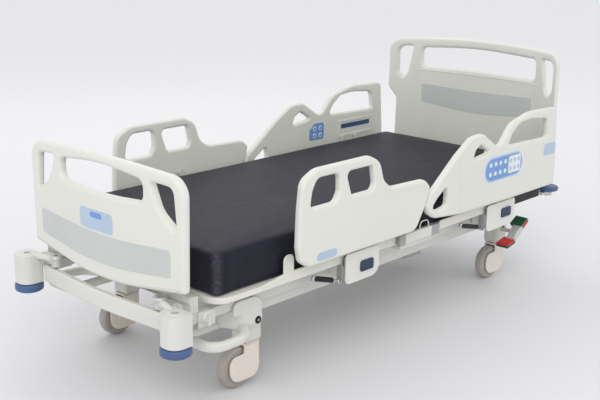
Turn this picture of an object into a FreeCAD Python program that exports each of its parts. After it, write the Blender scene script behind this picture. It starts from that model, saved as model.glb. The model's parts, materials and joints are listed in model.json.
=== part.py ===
import FreeCAD, Part

import math
import os
import re

# An adjustable hospital bed, in millimetres. The origin is on the floor under the middle of
# the mattress, +X points to the head end and +Y to the lying person's right.

os.makedirs("parts", exist_ok=True)
doc = FreeCAD.newDocument("hospital_bed")
sheet = doc.addObject("Spreadsheet::Sheet", "dims")

driving_sizes = [
    # mattress and deck
    ("mattressLong", 2000), ("mattressWide", 900), ("mattressThick", 150), ("mattressBase", 402),
    ("deckTop", 400), ("deckThick", 22), ("deckHalf", 458), ("sectionGap", 10),
    ("mattressGap", 2), ("tabSide", 452), ("tabThick", 7),
    # lines about which the deck bends
    ("backEdge", 190), ("backPivotAlong", 270), ("backPivotUp", 490),
    ("kneeLine", -30), ("calfLine", -350), ("hingeUp", 390), ("hingePinRadius", 4),
    # upper frame
    ("frameLow", 318), ("frameHigh", 352), ("frameOuter", 398), ("frameTube", 36),
    ("frameFoot", 1086), ("frameHead", 1075), ("endTubeIn", 1035), ("footTubeHalf", 398),
    ("frameStep", 770), ("headTubeTop", 374),
    ("columnAway", 600), ("columnLong", 120), ("columnWide", 100), ("columnWall", 3),
    # corner posts, bumpers and board sockets
    ("postAway", 1138), ("postSide", 414), ("postRadius", 46), ("postLow", 281), ("postTop", 388),
    ("poleRadius", 12.5), ("poleDeep", 100), ("headBumperSide", 420), ("headPostTop", 364),
    ("bumperRadius", 52), ("bumperThick", 34), ("bumperPin", 8), ("turnGap", 0.3),
    ("socketSide", 290), ("footSocketAway", 1097), ("headSocketAway", 1132), ("socketRadius", 19),
    ("socketLow", 358), ("socketTop", 398), ("boardPin", 9), ("pinTop", 410),
    # base and casters
    ("baseSide", 330), ("baseTube", 40), ("baseLow", 257), ("baseHigh", 307),
    ("footSwivel", -754), ("headSwivel", 842), ("swivelSide", 335), ("castingRadius", 38),
    ("castingLow", 161), ("castingTop", 308), ("stemRadius", 10), ("stemTop", 214),
    ("trail", 56), ("wheelRadius", 75), ("wheelHalf", 20), ("hubRadius", 60), ("axleRadius", 6),
    ("cheekIn", 23), ("cheekThick", 7), ("cheekRadius", 49), ("crownLow", 152), ("crownTop", 160),
    # brake
    ("brakeAlong", 832), ("brakeUp", 229), ("brakeRadius", 9), ("brakeHole", 12),
    # boards
    ("boardThick", 35), ("insetDeep", 3), ("boardTall", 1100),
    # side rails, their arms and brackets
    ("railInner", 485), ("railThick", 30), ("armLong", 200), ("armLean", 60), ("armRise", 370),
    ("armInner", 466), ("armThick", 3.2), ("armStep", 3.8), ("armHalf", 15), ("armPin", 6),
    ("railPinDeep", 9),
    ("coverInner", 474.5), ("coverThick", 3.5), ("handleThick", 5.5),
]
for row, (alias, size) in enumerate(driving_sizes, start=1):
    sheet.set(f"A{row}", alias)
    sheet.set(f"B{row}", str(size))
    sheet.setAlias(f"B{row}", alias)
doc.recompute()

aliases = {alias for alias, size in driving_sizes}
nodes = []


def formula(text):
    """The text with each sheet alias written as the expression engine reads it."""
    return re.sub(r"[A-Za-z]+", lambda word: "dims." + word[0] if word[0] in aliases else word[0], text)


def size(alias):
    return float(sheet.get(alias))


def bind(thing, **formulas):
    for prop, text in formulas.items():
        thing.setExpression(prop.replace("_", "."), formula(text))
    return thing


def place(thing, x="0", y="0", z="0"):
    return bind(thing, Placement_Base_x=x, Placement_Base_y=y, Placement_Base_z=z)


def node(thing, label):
    """Names a finished sub-part, which is written to its own file."""
    thing.Label = label
    nodes.append(thing)
    return thing


# ---- shapes ----------------------------------------------------------------------------------

def box(name, x, y, z):
    """A block between a low and a high value on each axis."""
    block = doc.addObject("Part::Box", name)
    spans = [f"({high}) - ({low})" for low, high in (x, y, z)]
    bind(block, Length=spans[0], Width=spans[1], Height=spans[2])
    return place(block, x[0], y[0], z[0])


def rod(name, axis, radius, low, high, x="0", y="0", z="0"):
    """A cylinder along one axis, from low to high on it."""
    bar = doc.addObject("Part::Cylinder", name)
    if axis == "x":
        bar.Placement.Rotation = FreeCAD.Rotation(FreeCAD.Vector(0, 1, 0), 90)
        x = low
    elif axis == "y":
        bar.Placement.Rotation = FreeCAD.Rotation(FreeCAD.Vector(1, 0, 0), -90)
        y = low
    else:
        z = low
    bind(bar, Radius=radius, Height=f"({high}) - ({low})")
    return place(bar, x, y, z)


def join(name, kind, pieces):
    """One object from several: Compound, MultiFuse or MultiCommon."""
    whole = doc.addObject("Part::" + kind, name)
    if kind == "Compound":
        whole.Links = pieces
    else:
        whole.Shapes = pieces
    return whole


def cut(name, base, tool):
    rest = doc.addObject("Part::Cut", name)
    rest.Base = base
    rest.Tool = tool
    return rest


def side_span(side, low, high):
    """A span across the bed on one side of it: side is 1 or -1."""
    return (low, high) if side > 0 else (f"-({high})", f"-({low})")


def unit(vector):
    return vector * (1 / vector.Length)


def outline(corners):
    """Straight edges with tangent arcs from corners given as (across, up, radius)."""
    points = [FreeCAD.Vector(across, up, 0) for across, up, radius in corners]
    count = len(points)
    entries, exits, arcs = [], [], []
    for i, (across, up, radius) in enumerate(corners):
        back = points[i - 1] - points[i]
        ahead = points[(i + 1) % count] - points[i]
        half = unit(back).getAngle(unit(ahead)) / 2
        room = 0.49 * min(back.Length, ahead.Length)
        run = min(radius / math.tan(half), room)
        if radius == 0:
            entries.append(points[i])
            exits.append(points[i])
            continue
        entry = points[i] + unit(back) * run
        leave = points[i] + unit(ahead) * run
        reach = run * math.tan(half)
        middle = points[i] + unit(unit(back) + unit(ahead)) * (reach / math.sin(half) - reach)
        entries.append(entry)
        exits.append(leave)
        arcs.append(Part.Arc(entry, middle, leave))
    lines = [Part.LineSegment(exits[i], entries[(i + 1) % count]) for i in range(count)
             if (exits[i] - entries[(i + 1) % count]).Length > 1e-6]
    return lines + arcs


def prism(name, plane, loops, depth, at="0"):
    """A body padded from outlines on an origin plane. It starts at the value at on the
    plane's normal axis and goes depth along +X, +Y or +Z."""
    body = doc.addObject("PartDesign::Body", name)
    doc.recompute()
    sketch = body.newObject("Sketcher::SketchObject", name + "_sketch")
    support = [f for f in body.Origin.OriginFeatures if f.Role == plane + "_Plane"][0]
    sketch.AttachmentSupport = [(support, "")]
    sketch.MapMode = "FlatFace"
    for loop in loops:
        sketch.addGeometry(outline(loop), False)
    pad = body.newObject("PartDesign::Pad", name + "_pad")
    pad.Profile = sketch
    bind(pad, Length=depth)
    if plane == "XZ":
        place(body, y=f"({at}) + ({depth})")
    elif plane == "YZ":
        place(body, x=at)
    else:
        place(body, z=at)
    return body


def mirrored_corners(half):
    """A closed outline from its right half, listed from the bottom centre to the top centre."""
    left = [(-across, up, radius) for across, up, radius in reversed(half) if across != 0]
    return half + left


def moved(corners, along, up):
    return [(a + along, u + up, radius) for a, u, radius in corners]


# ---- base, lift columns and casters ------------------------------------------------------------

ends = {"foot": ("footSwivel", -1), "head": ("headSwivel", 1)}
sides = {"left": -1, "right": 1}


def build_base():
    tubes = []
    for side_name, side in sides.items():
        across = side_span(side, "baseSide - baseTube / 2", "baseSide + baseTube / 2")
        tubes.append(box("base_rail_" + side_name, ("footSwivel + castingRadius + 1",
                         "headSwivel - castingRadius - 1"), across, ("baseLow", "baseHigh")))
    half = "baseSide - baseTube / 2"
    for end in (-1, 1):
        for offset in ("- 105", "+ 65"):
            low = f"{end} * columnAway {offset}"
            tubes.append(box("base_cross", (low, low + " + baseTube"),
                             ("-" + f"({half})", half), ("baseLow + 5", "baseHigh - 5")))
    node(join("base_tubes", "Compound", tubes), "base_frame")


def build_castings():
    castings = []
    for end, (swivel, sign) in ends.items():
        for side_name, side in sides.items():
            across = f"{side} * swivelSide"
            name = f"casting_{end}_{side_name}"
            shell = rod(name + "_shell", "z", "castingRadius", "castingLow", "castingTop",
                        x=swivel, y=across)
            bore = rod(name + "_bore", "z", "stemRadius + 0.4", "castingLow - 5", "stemTop + 2",
                       x=swivel, y=across)
            low, high = side_span(side, "swivelSide - 60", "swivelSide + 60")
            where = "brakeAlong" if end == "head" else swivel
            cross = rod(name + "_cross", "y", "brakeHole", low, high, x=where, z="brakeUp")
            tools = join(name + "_holes", "MultiFuse", [bore, cross])
            castings.append(cut(name, shell, tools))
    node(join("corner_castings", "Compound", castings), "base_corner_columns")


def build_loops():
    """A flat guard ring at each foot-end corner, tight against the casting."""
    ring = [(-1045, 300, 62), (-793, 300, 24), (-793, 382, 30), (-852, 456, 60),
            (-905, 482, 60), (-1045, 482, 75)]
    hole = [(-1015, 328, 34), (-850, 328, 20), (-850, 380, 40), (-880, 438, 50),
            (-930, 454, 40), (-1015, 454, 48)]
    loops = []
    for side_name, side in sides.items():
        pair = [[(x, side * y, r) for x, y, r in corners] for corners in (ring, hole)]
        loops.append(prism("loop_" + side_name, "XY", pair, "34", "228"))
    node(join("guard_loops", "Compound", loops), "base_corner_loops")


def tube(name, centre, inset, low, high):
    """A square lift tube, inset from the outer one on every side."""
    outer = []
    for part, extra in (("_skin", "0"), ("_core", "columnWall")):
        half_long = f"columnLong / 2 - {inset} - {extra}"
        half_wide = f"columnWide / 2 - {inset} - {extra}"
        floor = low if part == "_skin" else f"{low} - 1"
        roof = high if part == "_skin" else f"{high} + 1"
        outer.append(box(name + part, (f"{centre} - ({half_long})", f"{centre} + {half_long}"),
                         (f"-({half_wide})", half_wide), (floor, roof)))
    return cut(name, outer[0], outer[1])


def build_columns():
    stages = {"outer": ("0", "75", "baseHigh - 5"), "middle": ("4", "80", "312"),
              "inner": ("8", "90", "frameLow")}
    for stage, (inset, low, high) in stages.items():
        tubes = []
        for end, sign in (("foot", -1), ("head", 1)):
            centre = f"{sign} * columnAway"
            stage_tube = tube(f"{stage}_tube_{end}", centre, inset, low, high)
            if stage == "outer":
                plate = box("flange_plate_" + end, (centre + " - 105", centre + " + 105"),
                            ("-80", "80"), ("baseHigh - 5", "baseHigh + 1"))
                mouth = box("flange_mouth_" + end,
                            (centre + " - columnLong / 2 + columnWall",
                             centre + " + columnLong / 2 - columnWall"),
                            ("-columnWide / 2 + columnWall", "columnWide / 2 - columnWall"),
                            ("baseHigh - 10", "baseHigh + 6"))
                flange = cut("flange_" + end, plate, mouth)
                stage_tube = join("outer_column_" + end, "MultiFuse", [stage_tube, flange])
            tubes.append(stage_tube)
        node(join(stage + "_tubes", "Compound", tubes), f"column_{stage}_tubes")


def build_caster(end, side_name):
    swivel, sign = ends[end]
    side = sides[side_name]
    name = f"{end}_{side_name}"
    centre = f"{side} * swivelSide"
    axle = f"{swivel} - trail"
    parts = [rod("stem_" + name, "z", "stemRadius", "crownLow", "stemTop", x=swivel, y=centre)]
    reach = "cheekIn + cheekThick"
    parts.append(box("crown_" + name, (f"{swivel} - 40", f"{swivel} + 33"),
                     (f"{centre} - ({reach})", f"{centre} + {reach}"), ("crownLow", "crownTop")))
    for face in (-1, 1):
        low, high = side_span(face, "cheekIn", reach)
        low, high = f"{centre} + ({low})", f"{centre} + ({high})"
        parts.append(rod("lobe_" + name, "y", "cheekRadius", low, high, x=axle, z="wheelRadius"))
        parts.append(box("arm_" + name, (f"{swivel} - 40", f"{swivel} + 33"), (low, high),
                         ("wheelRadius + 20", "crownTop")))
    parts.append(rod("axle_" + name, "y", "axleRadius", f"{centre} - ({reach})",
                     f"{centre} + {reach}", x=axle, z="wheelRadius"))
    node(join("fork_" + name, "MultiFuse", parts), "caster_fork_" + name)
    low, high = f"{centre} - wheelHalf", f"{centre} + wheelHalf"
    discs = [rod(part + name, "y", radius, low, high, x=axle, z="wheelRadius")
             for part, radius in (("tread_", "wheelRadius"), ("seat_", "hubRadius"),
                                  ("disc_", "hubRadius"), ("bore_", "axleRadius + turnGap"))]
    tyre = cut("tyre_" + name, discs[0], discs[1])
    hub = cut("hub_" + name, discs[2], discs[3])
    node(join("wheel_" + name, "Compound", [tyre, hub]), "caster_wheel_" + name)


def build_brake():
    """One cross shaft under the head end with a two-pad rocker at each end."""
    shaft = rod("brake_bar", "y", "brakeRadius", "-424", "424", x="brakeAlong", z="brakeUp")
    pieces = [shaft]
    pads = []
    rocker = [(-36, -34, 10), (-24, -34, 10), (14, -8, 22), (34, 16, 8), (34, 30, 8), (20, 30, 8),
              (-14, 12, 22), (-36, -16, 8)]
    red = [(-94, -50, 4), (-24, -36, 4), (-22, -26, 4), (-92, -40, 4)]
    green = [(14, 30, 4), (24, 22, 4), (74, 48, 4), (66, 58, 4)]
    at = (size("brakeAlong"), size("brakeUp"))
    for side_name, side in sides.items():
        low = "424" if side > 0 else "-464"
        pieces.append(prism("rocker_" + side_name, "XZ", [moved(rocker, *at)], "40", low))
        for colour, corners in (("red", red), ("green", green)):
            name = f"{colour}_{side_name}"
            pad_low = "404" if side > 0 else "-464"
            pad = prism(name + "_pad", "XZ", [moved(corners, *at)], "60", pad_low)
            slot = prism(name + "_slot", "XZ", [moved(rocker, *at)], "40", low)
            pads.append(cut(name, pad, slot))
    node(join("brake_bar_and_rockers", "Compound", pieces), "brake_shaft_and_rockers")
    node(join("pads", "Compound", pads), "brake_pads")


# ---- upper frame -------------------------------------------------------------------------------

def build_upper_frame():
    height = ("frameLow", "frameHigh")
    inner = "frameOuter - frameTube"
    pieces = []
    for side_name, side in sides.items():
        across = side_span(side, inner, "frameOuter")
        pieces.append(box("side_tube_" + side_name, ("-frameFoot", "frameStep"), across, height))
        pieces.append(box("raised_tube_" + side_name, ("frameStep - 70", "frameHead"), across,
                          ("frameHigh", "headTubeTop")))
    for sign in (-1, 1):
        centre = f"{sign} * columnAway"
        pieces.append(box("column_head", (centre + " - 60", centre + " + 60"),
                          (f"-({inner})", inner), height))
    pieces.append(box("head_tube", ("endTubeIn", "frameHead"), (f"-({inner})", inner),
                      ("frameHigh", "headTubeTop")))
    across_foot = ("-endTubeIn - 28", "-endTubeIn + 8")
    pieces.append(box("foot_tube", across_foot, ("-footTubeHalf", "footTubeHalf"),
                      ("frameHigh + 27", "frameHigh + 57")))
    for side_name, side in sides.items():
        across = side_span(side, inner, "frameOuter")
        pieces.append(box("foot_riser_" + side_name, across_foot, across,
                          ("frameHigh", "frameHigh + 27")))
    under = "deckTop - deckThick"
    for low, high in (("10", "40"), ("120", "150")):
        pieces.append(box("seat_bar", (low, high), ("-frameOuter", "frameOuter"),
                          ("frameHigh", under)))
    pieces.append(rod("knee_pin", "y", "hingePinRadius", "-deckHalf", "deckHalf",
                      x="kneeLine", z="hingeUp"))
    node(join("frame_tubes", "Compound", pieces), "upper_frame")


def build_end_beam():
    beam = [(-1112, -356, 0), (-1140, 0, 1700), (-1112, 356, 0), (-1090, 356, 0), (-1114, 0, 1900),
            (-1090, -356, 0)]
    node(prism("bowed_beam", "XY", [beam], "62", "288"), "foot_end_beam")


def build_posts():
    posts = []
    for side_name, side in sides.items():
        across = f"{side} * postSide"
        reach = size("postRadius")
        out, back = -size("postAway") - reach, 36 - size("postAway")
        low_side, high_side = [side * size("postSide") + part * reach for part in (-1, 1)]
        shell = prism("post_" + side_name, "XY",
                      [[(out, low_side, 45.5), (back, low_side, 8), (back, high_side, 8),
                        (out, high_side, 45.5)]], "postTop - postLow", "postLow")
        pin = rod("bumper_pin_" + side_name, "z", "bumperPin", "postLow - 40", "postLow + 2",
                  x="-postAway", y=across)
        keeper = rod("bumper_keeper_" + side_name, "z", "bumperPin + 7", "postLow - 43",
                     "postLow - 37.5", x="-postAway", y=across)
        solid = join("post_solid_" + side_name, "MultiFuse", [shell, pin, keeper])
        bore = rod("pole_bore_" + side_name, "z", "poleRadius", "postTop - poleDeep",
                   "postTop + 5", x="-postAway", y=across)
        posts.append(cut("foot_post_" + side_name, solid, bore))
        across = f"{side} * headBumperSide"
        block = box("head_block_" + side_name, ("frameHead + 1", "postAway - 20"),
                    side_span(side, "376", "432"), ("frameHigh", "headPostTop"))
        boss = rod("head_boss_" + side_name, "z", "24", "frameHigh - 8", "headPostTop",
                   x="postAway", y=across)
        pin = rod("head_pin_" + side_name, "z", "bumperPin", "headPostTop - 2", "headPostTop + 37",
                  x="postAway", y=across)
        keeper = rod("head_keeper_" + side_name, "z", "bumperPin + 7", "headPostTop + 36",
                     "headPostTop + 42", x="postAway", y=across)
        posts.append(join("head_post_" + side_name, "MultiFuse", [block, boss, pin, keeper]))
    node(join("posts", "Compound", posts), "corner_posts")


def build_sockets():
    sockets = []
    for end, away, low in (("foot", "-footSocketAway", "socketLow"),
                           ("head", "headSocketAway", "frameHigh + 2")):
        for side_name, side in sides.items():
            across = f"{side} * socketSide"
            name = f"{end}_{side_name}"
            cup = rod("cup_" + name, "z", "socketRadius", low, "socketTop", x=away, y=across)
            if end == "foot":
                arm = box("socket_arm_" + name, (away + " - 12", away + " + 12"),
                          side_span(side, "socketSide + 10", "postSide - postRadius"),
                          ("socketLow + 4", "socketTop - 4"))
            else:
                arm = box("socket_arm_" + name, ("frameHead + 1", away + " - 8"),
                          side_span(side, "socketSide - 12", "socketSide + 12"),
                          ("frameHigh + 2", "headTubeTop - 2"))
            bore = rod("socket_bore_" + name, "z", "boardPin + turnGap", low + " + 4",
                       "socketTop + 5", x=away, y=across)
            body = join("socket_body_" + name, "MultiFuse", [cup, arm])
            sockets.append(cut("socket_" + name, body, bore))
    node(join("sockets", "Compound", sockets), "board_sockets")


def build_bumpers():
    for end, away, across, low in (("foot", "-postAway", "postSide", "postLow - 36"),
                                   ("head", "postAway", "headBumperSide", "headPostTop + 1")):
        for side_name, side in sides.items():
            where = {"x": away, "y": f"{side} * {across}"}
            name = f"bumper_{end}_{side_name}"
            disc = rod(name + "_disc", "z", "bumperRadius", low, f"{low} + bumperThick", **where)
            bore = rod(name + "_bore", "z", "bumperPin + turnGap", f"{low} - 3",
                       f"{low} + bumperThick + 3", **where)
            node(cut(name + "_ring", disc, bore), name.replace("bumper_", "bumper_roller_"))


def build_actuators():
    """The back and knee drives, in two lanes under the seat section."""
    height = ("frameLow - 6", "frameHigh - 4")
    housings = [box("back_drive", ("-170", "120"), ("42", "82"), height),
                box("knee_drive", ("60", "300"), ("-82", "-42"), height)]
    node(join("drives", "Compound", housings), "actuator_housings")
    node(rod("back_rod", "x", "9", "121", "322", y="62", z="frameLow + 12"), "back_actuator_rod")
    node(rod("knee_rod", "x", "9", "-22", "59", y="-62", z="frameLow + 12"), "knee_actuator_rod")


# ---- sleeping deck and mattress ------------------------------------------------------------------

def deck_panel(name, low, high):
    return box(name, (low, high), ("-deckHalf", "deckHalf"), ("deckTop - deckThick", "deckTop"))


def build_deck():
    node(deck_panel("seat_board", "kneeLine + sectionGap / 2", "backEdge - sectionGap / 2"),
         "seat_panel")
    back = deck_panel("back_board", "backEdge + sectionGap", "mattressLong / 2")
    lever = box("back_lever", ("328", "344"), ("50", "74"), ("frameLow + 2", "deckTop - deckThick"))
    node(join("back_section", "Compound", [back, lever]), "backrest_panel")
    thigh = deck_panel("thigh_board", "calfLine + sectionGap / 2", "kneeLine - sectionGap")
    lever = box("knee_lever", ("-46", "-40"), ("-74", "-50"), ("frameLow + 2", "deckTop - deckThick"))
    node(join("thigh_section", "Compound", [thigh, lever]), "thigh_panel")
    leg = [deck_panel("leg_board", "-mattressLong / 2", "calfLine - sectionGap")]
    leg.append(rod("calf_pin", "y", "hingePinRadius", "-deckHalf", "deckHalf", x="calfLine",
                   z="hingeUp"))
    tab = [(-697, 400, 0), (-648, 400, 0), (-648, 478, 18), (-697, 478, 18)]
    for side_name, side in sides.items():
        low = "tabSide" if side > 0 else "-tabSide - tabThick"
        leg.append(prism("tab_" + side_name, "XZ", [tab], "tabThick", low))
    node(join("leg_section", "Compound", leg), "leg_panel")


def build_mattress():
    spans = {"back": ("backEdge + mattressGap", "mattressLong / 2"),
             "seat": ("kneeLine + mattressGap", "backEdge - mattressGap"),
             "thigh": ("calfLine + mattressGap", "kneeLine - mattressGap"),
             "leg": ("-mattressLong / 2", "calfLine - mattressGap")}
    across = ("-mattressWide / 2", "mattressWide / 2")
    for section, along in spans.items():
        block = box("foam_" + section, along, across,
                    ("mattressBase", "mattressBase + mattressThick"))
        node(block, "mattress_" + section)


# ---- head and foot boards ------------------------------------------------------------------------

def board(name, plan, outer, slots, band, recess_plan):
    """A bowed board: its front outline where it meets the bowed slab, less its windows."""
    face = mirrored_corners(outer)
    window = mirrored_corners(band)
    profile = prism(name + "_profile", "YZ", [face] + slots + [window], "400", plan["from"])
    slab = prism(name + "_slab", "XY", [plan["skin"]], "boardTall")
    plate = join(name + "_plate", "MultiCommon", [profile, slab])
    inner = [(a, up + (0.5 if up < window_middle(band) else -0.5), r) for a, up, r in band]
    inner = mirrored_corners([(a - 0.5 if a else 0, up, r) for a, up, r in inner])
    strip = prism(name + "_strip", "YZ", [inner], "400", plan["from"])
    thin = prism(name + "_thin", "XY", [recess_plan], "boardTall")
    return plate, join(name + "_insert", "MultiCommon", [strip, thin])


def window_middle(band):
    return (band[0][1] + band[-1][1]) / 2


def with_pins(name, plate, away):
    pins = [rod(f"{name}_pin_{side_name}", "z", "boardPin", "socketTop - 34",
                "pinTop + 20", x=away, y=f"{side} * socketSide")
            for side_name, side in sides.items()]
    return join(name + "_with_pins", "MultiFuse", [plate] + pins)


def mirror_across(corners):
    """An outline symmetric about the bed's middle line, from its +Y half."""
    return corners + [(x, -y, r) for x, y, r in reversed(corners) if y != 0]


def build_footboard():
    thick = size("boardThick")
    skin = mirror_across([(-1080, 0, 4200), (-1066, 418, 0), (-1066 - thick, 418, 0),
                          (-1080 - thick, 0, 4200)])
    recess = size("insetDeep")
    thin = mirror_across([(-1080 - recess, 0, 4200), (-1066 - recess, 418, 0),
                          (-1066 - thick + recess, 418, 0), (-1080 - thick + recess, 0, 4200)])
    outer = [(0, 376, 2600), (412, 432, 12), (418, 806, 70), (0, 826, 6000)]
    middle = mirrored_corners([(0, 684, 4000), (225, 700, 28), (225, 770, 28), (0, 794, 3000)])
    slots = [middle]
    for side in (-1, 1):
        grip = [(262, 773, 10), (366, 768, 26), (380, 630, 7), (300, 685, 80)]
        slots.append([(side * across, up, r) for across, up, r in grip])
    band = [(0, 434, 2500), (355, 476, 10), (355, 568, 10), (0, 541, 3500)]
    plan = {"skin": skin, "from": "-1300"}
    plate, insert = board("footboard", plan, outer, slots, band, thin)
    node(with_pins("footboard", plate, "-footSocketAway"), "footboard")
    node(insert, "footboard_insert")


def build_headboard():
    thick = size("boardThick")
    bend = [(1118, 0, 0), (1116, 318, 120), (1070, 432, 160), (1035, 480, 0)]
    skin = mirror_across(bend + [(x + thick, y, r) for x, y, r in reversed(bend)])
    recess = size("insetDeep")
    face = [(x + recess, y, r) for x, y, r in bend]
    back = [(x + thick - recess, y, r) for x, y, r in reversed(bend)]
    thin = mirror_across(face + back)
    outer = [(0, 405, 0), (446, 405, 20), (442, 712, 30), (476, 768, 30), (475, 1014, 62),
             (0, 1041, 6000)]
    middle = mirrored_corners([(0, 888, 6000), (322, 876, 24), (322, 972, 24), (0, 994, 4000)])
    slots = [middle]
    for side in (-1, 1):
        grip = [(366, 978, 8), (438, 974, 34), (437, 845, 20), (410, 814, 10), (390, 850, 40)]
        slots.append([(side * across, up, r) for across, up, r in grip])
    band = [(0, 674, 3000), (315, 702, 10), (315, 794, 10), (0, 785, 6000)]
    plan = {"skin": skin, "from": "900"}
    plate, insert = board("headboard", plan, outer, slots, band, thin)
    node(with_pins("headboard", plate, "headSocketAway"), "headboard")
    node(insert, "headboard_insert")


# ---- side rails ----------------------------------------------------------------------------------

# The foot rails hang on the upper frame and swing towards the foot; the head rails hang on the
# backrest and swing towards the head. Each rides on two parallel arms.
foot_rail_outline = [
    (-685, 511, 40), (-674, 462, 30), (-632, 434, 40), (-40, 434, 30), (-16, 452, 30),
    (32, 529, 70), (56, 595, 18), (20, 630, 60), (-192, 637, 120), (-234, 672, 60), (-258, 745, 60),
    (-318, 774, 60), (-600, 774, 90), (-668, 742, 50), (-680, 640, 200)]
foot_rail_windows = [
    [(-628, 640, 16), (-500, 640, 26), (-480, 672, 30), (-482, 740, 24), (-594, 740, 34),
     (-618, 700, 60)],
    [(-412, 646, 16), (-297, 646, 18), (-288, 670, 20), (-302, 737, 18), (-445, 737, 18)]]
head_rail_outline = [
    (97, 458, 50), (52, 484, 30), (32, 517, 20), (52, 556, 30), (232, 690, 200), (330, 748, 90),
    (412, 752, 80), (520, 684, 34), (552, 688, 30), (628, 766, 90), (770, 798, 300),
    (1000, 792, 30), (1010, 690, 80), (1022, 560, 200), (1024, 434, 12), (640, 434, 0),
    (263, 440, 300)]
head_rail_windows = [
    [(70, 500, 12), (105, 534, 60), (166, 574, 10), (176, 534, 20), (172, 496, 14), (120, 488, 60)],
    [(344, 652, 8), (362, 690, 14), (398, 708, 12), (470, 666, 7)],
    [(602, 673, 10), (634, 718, 60), (690, 757, 60), (780, 764, 200), (922, 750, 26),
     (936, 664, 10)]]


def arm_centres(foot_end):
    """The two arm pivots on the bracket, as distances along the bed."""
    return (-350, -250) if foot_end else (595, 695)


def rail_name(end, side_name):
    return f"{end}_rail_{side_name}"


def build_rail(end, side_name):
    side = sides[side_name]
    name = rail_name(end, side_name)
    foot_end = end == "foot"
    corners = foot_rail_outline if foot_end else head_rail_outline
    windows = foot_rail_windows if foot_end else head_rail_windows
    low = "railInner" if side > 0 else "-railInner - railThick"
    panel = prism(name + "_plate", "XZ", [corners] + windows, "railThick", low)
    lean = math.radians(size("armLean"))
    swing = -1 if foot_end else 1
    inner = side_span(side, "railInner - 1", "railInner + railPinDeep + 1")
    sockets = []
    for centre in arm_centres(foot_end):
        along = centre + swing * size("armLong") * math.cos(lean)
        up = size("armRise") + size("armLong") * math.sin(lean)
        sockets.append(rod(f"{name}_hole", "y", "armPin + turnGap", inner[0], inner[1],
                           x=f"{along}", z=f"{up}"))
    holes = join(name + "_holes", "MultiFuse", sockets)
    node(cut(name + "_panel", panel, holes), name)
    for part, centre in zip(("front", "rear"), sorted(arm_centres(foot_end), reverse=foot_end)):
        inner = "armInner + armStep" if part == "front" else "armInner"
        build_arm(f"{name}_arm_{part}", centre, swing, side, lean, inner)


def build_arm(name, centre, swing, side, lean, inner):
    """A flat arm from its pivot on the bracket to a pin in the rail.

    The front arm of a pair runs outside the rear one, so that the two pass each other.
    """
    along = centre + swing * size("armLong") * math.cos(lean)
    up = size("armRise") + size("armLong") * math.sin(lean)
    low, high = side_span(side, inner, inner + " + armThick")
    half = size("armHalf")
    across = FreeCAD.Vector(math.sin(lean) * half, -swing * math.cos(lean) * half, 0)
    start = (centre, size("armRise"))
    corners = [(start[0] - swing * across.x, start[1] - swing * across.y, 0),
               (start[0] + swing * across.x, start[1] + swing * across.y, 0),
               (along + swing * across.x, up + swing * across.y, 0),
               (along - swing * across.x, up - swing * across.y, 0)]
    web = prism(name + "_web", "XZ", [corners], "armThick", low)
    eye = rod(name + "_eye", "y", "armHalf", low, high, x=str(centre), z="armRise")
    knuckle = rod(name + "_knuckle", "y", "armHalf", low, high, x=str(along), z=str(up))
    pin_span = side_span(side, inner, "railInner + railPinDeep")
    pin = rod(name + "_pin", "y", "armPin", pin_span[0], pin_span[1], x=str(along), z=str(up))
    stub_span = side_span(side, "armInner - 8", inner + " + armThick")
    stub = rod(name + "_stub", "y", "armPin", stub_span[0], stub_span[1], x=str(centre),
               z="armRise")
    node(join(name + "_solid", "MultiFuse", [web, eye, knuckle, pin, stub]), name)


def build_brackets(end):
    """A block on each side that carries the arm pivots, and a cover plate in front of it."""
    foot_end = end == "foot"
    along = (-397, -205) if foot_end else (530, 750)
    cover_along = along
    top = size("deckTop") - size("deckThick")
    pieces = []
    for side_name, side in sides.items():
        name = f"{end}_bracket_{side_name}"
        inner, outer = side_span(side, "frameOuter + 4", "armInner - turnGap")
        roof = f"{top - 8}" if foot_end else f"{top}"
        block = box(name + "_block", (str(along[0]), str(along[1])), (inner, outer),
                    ("armRise - 46", roof))
        holes = [rod(name + "_hole", "y", "armPin + turnGap", *side_span(
                 side, "armInner - 10", "armInner + 2"), x=str(centre), z="armRise")
                 for centre in arm_centres(foot_end)]
        tools = join(name + "_holes", "MultiFuse", holes)
        body = cut(name + "_body", block, tools)
        low = "coverInner" if side > 0 else "-coverInner - coverThick"
        plate = [(cover_along[0], 300, 26), (cover_along[1], 302, 40), (cover_along[1], 416, 14),
                 (cover_along[0], 416, 14)]
        cover = prism(name + "_cover", "XZ", [plate], "coverThick", low)
        still = cover_along[1] - 16 if foot_end else cover_along[0] + 6
        lug = box(name + "_lug", (str(still), str(still + 10)),
                  side_span(side, "armInner - 6", "coverInner + 1"), ("344", "366"))
        pieces.append(join(name + "_front", "MultiFuse", [body, cover, lug]))
        if foot_end:
            foot = box(name + "_shelf", (str(along[0]), str(along[1])),
                       side_span(side, "frameOuter", "frameOuter + 3.9"), ("326", "350"))
            pieces.append(foot)
    node(join(end + "_brackets", "Compound", pieces), end + "_rail_brackets")


def build_handle(end, side_name):
    """The paddle that lets the rail's latch go when it is drawn up along the cover."""
    side = sides[side_name]
    centre, low_edge = (-279, 333) if end == "foot" else (678, 343)
    low = "coverInner + coverThick + turnGap" if side > 0 else \
        "-coverInner - coverThick - turnGap - handleThick"
    paddle = [(centre - 37, low_edge, 8), (centre + 37, low_edge, 8),
              (centre + 37, low_edge + 42, 10), (centre - 37, low_edge + 42, 10)]
    node(prism(f"{end}_paddle_{side_name}", "XZ", [paddle], "handleThick", low),
         f"{end}_release_handle_{side_name}")


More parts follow.
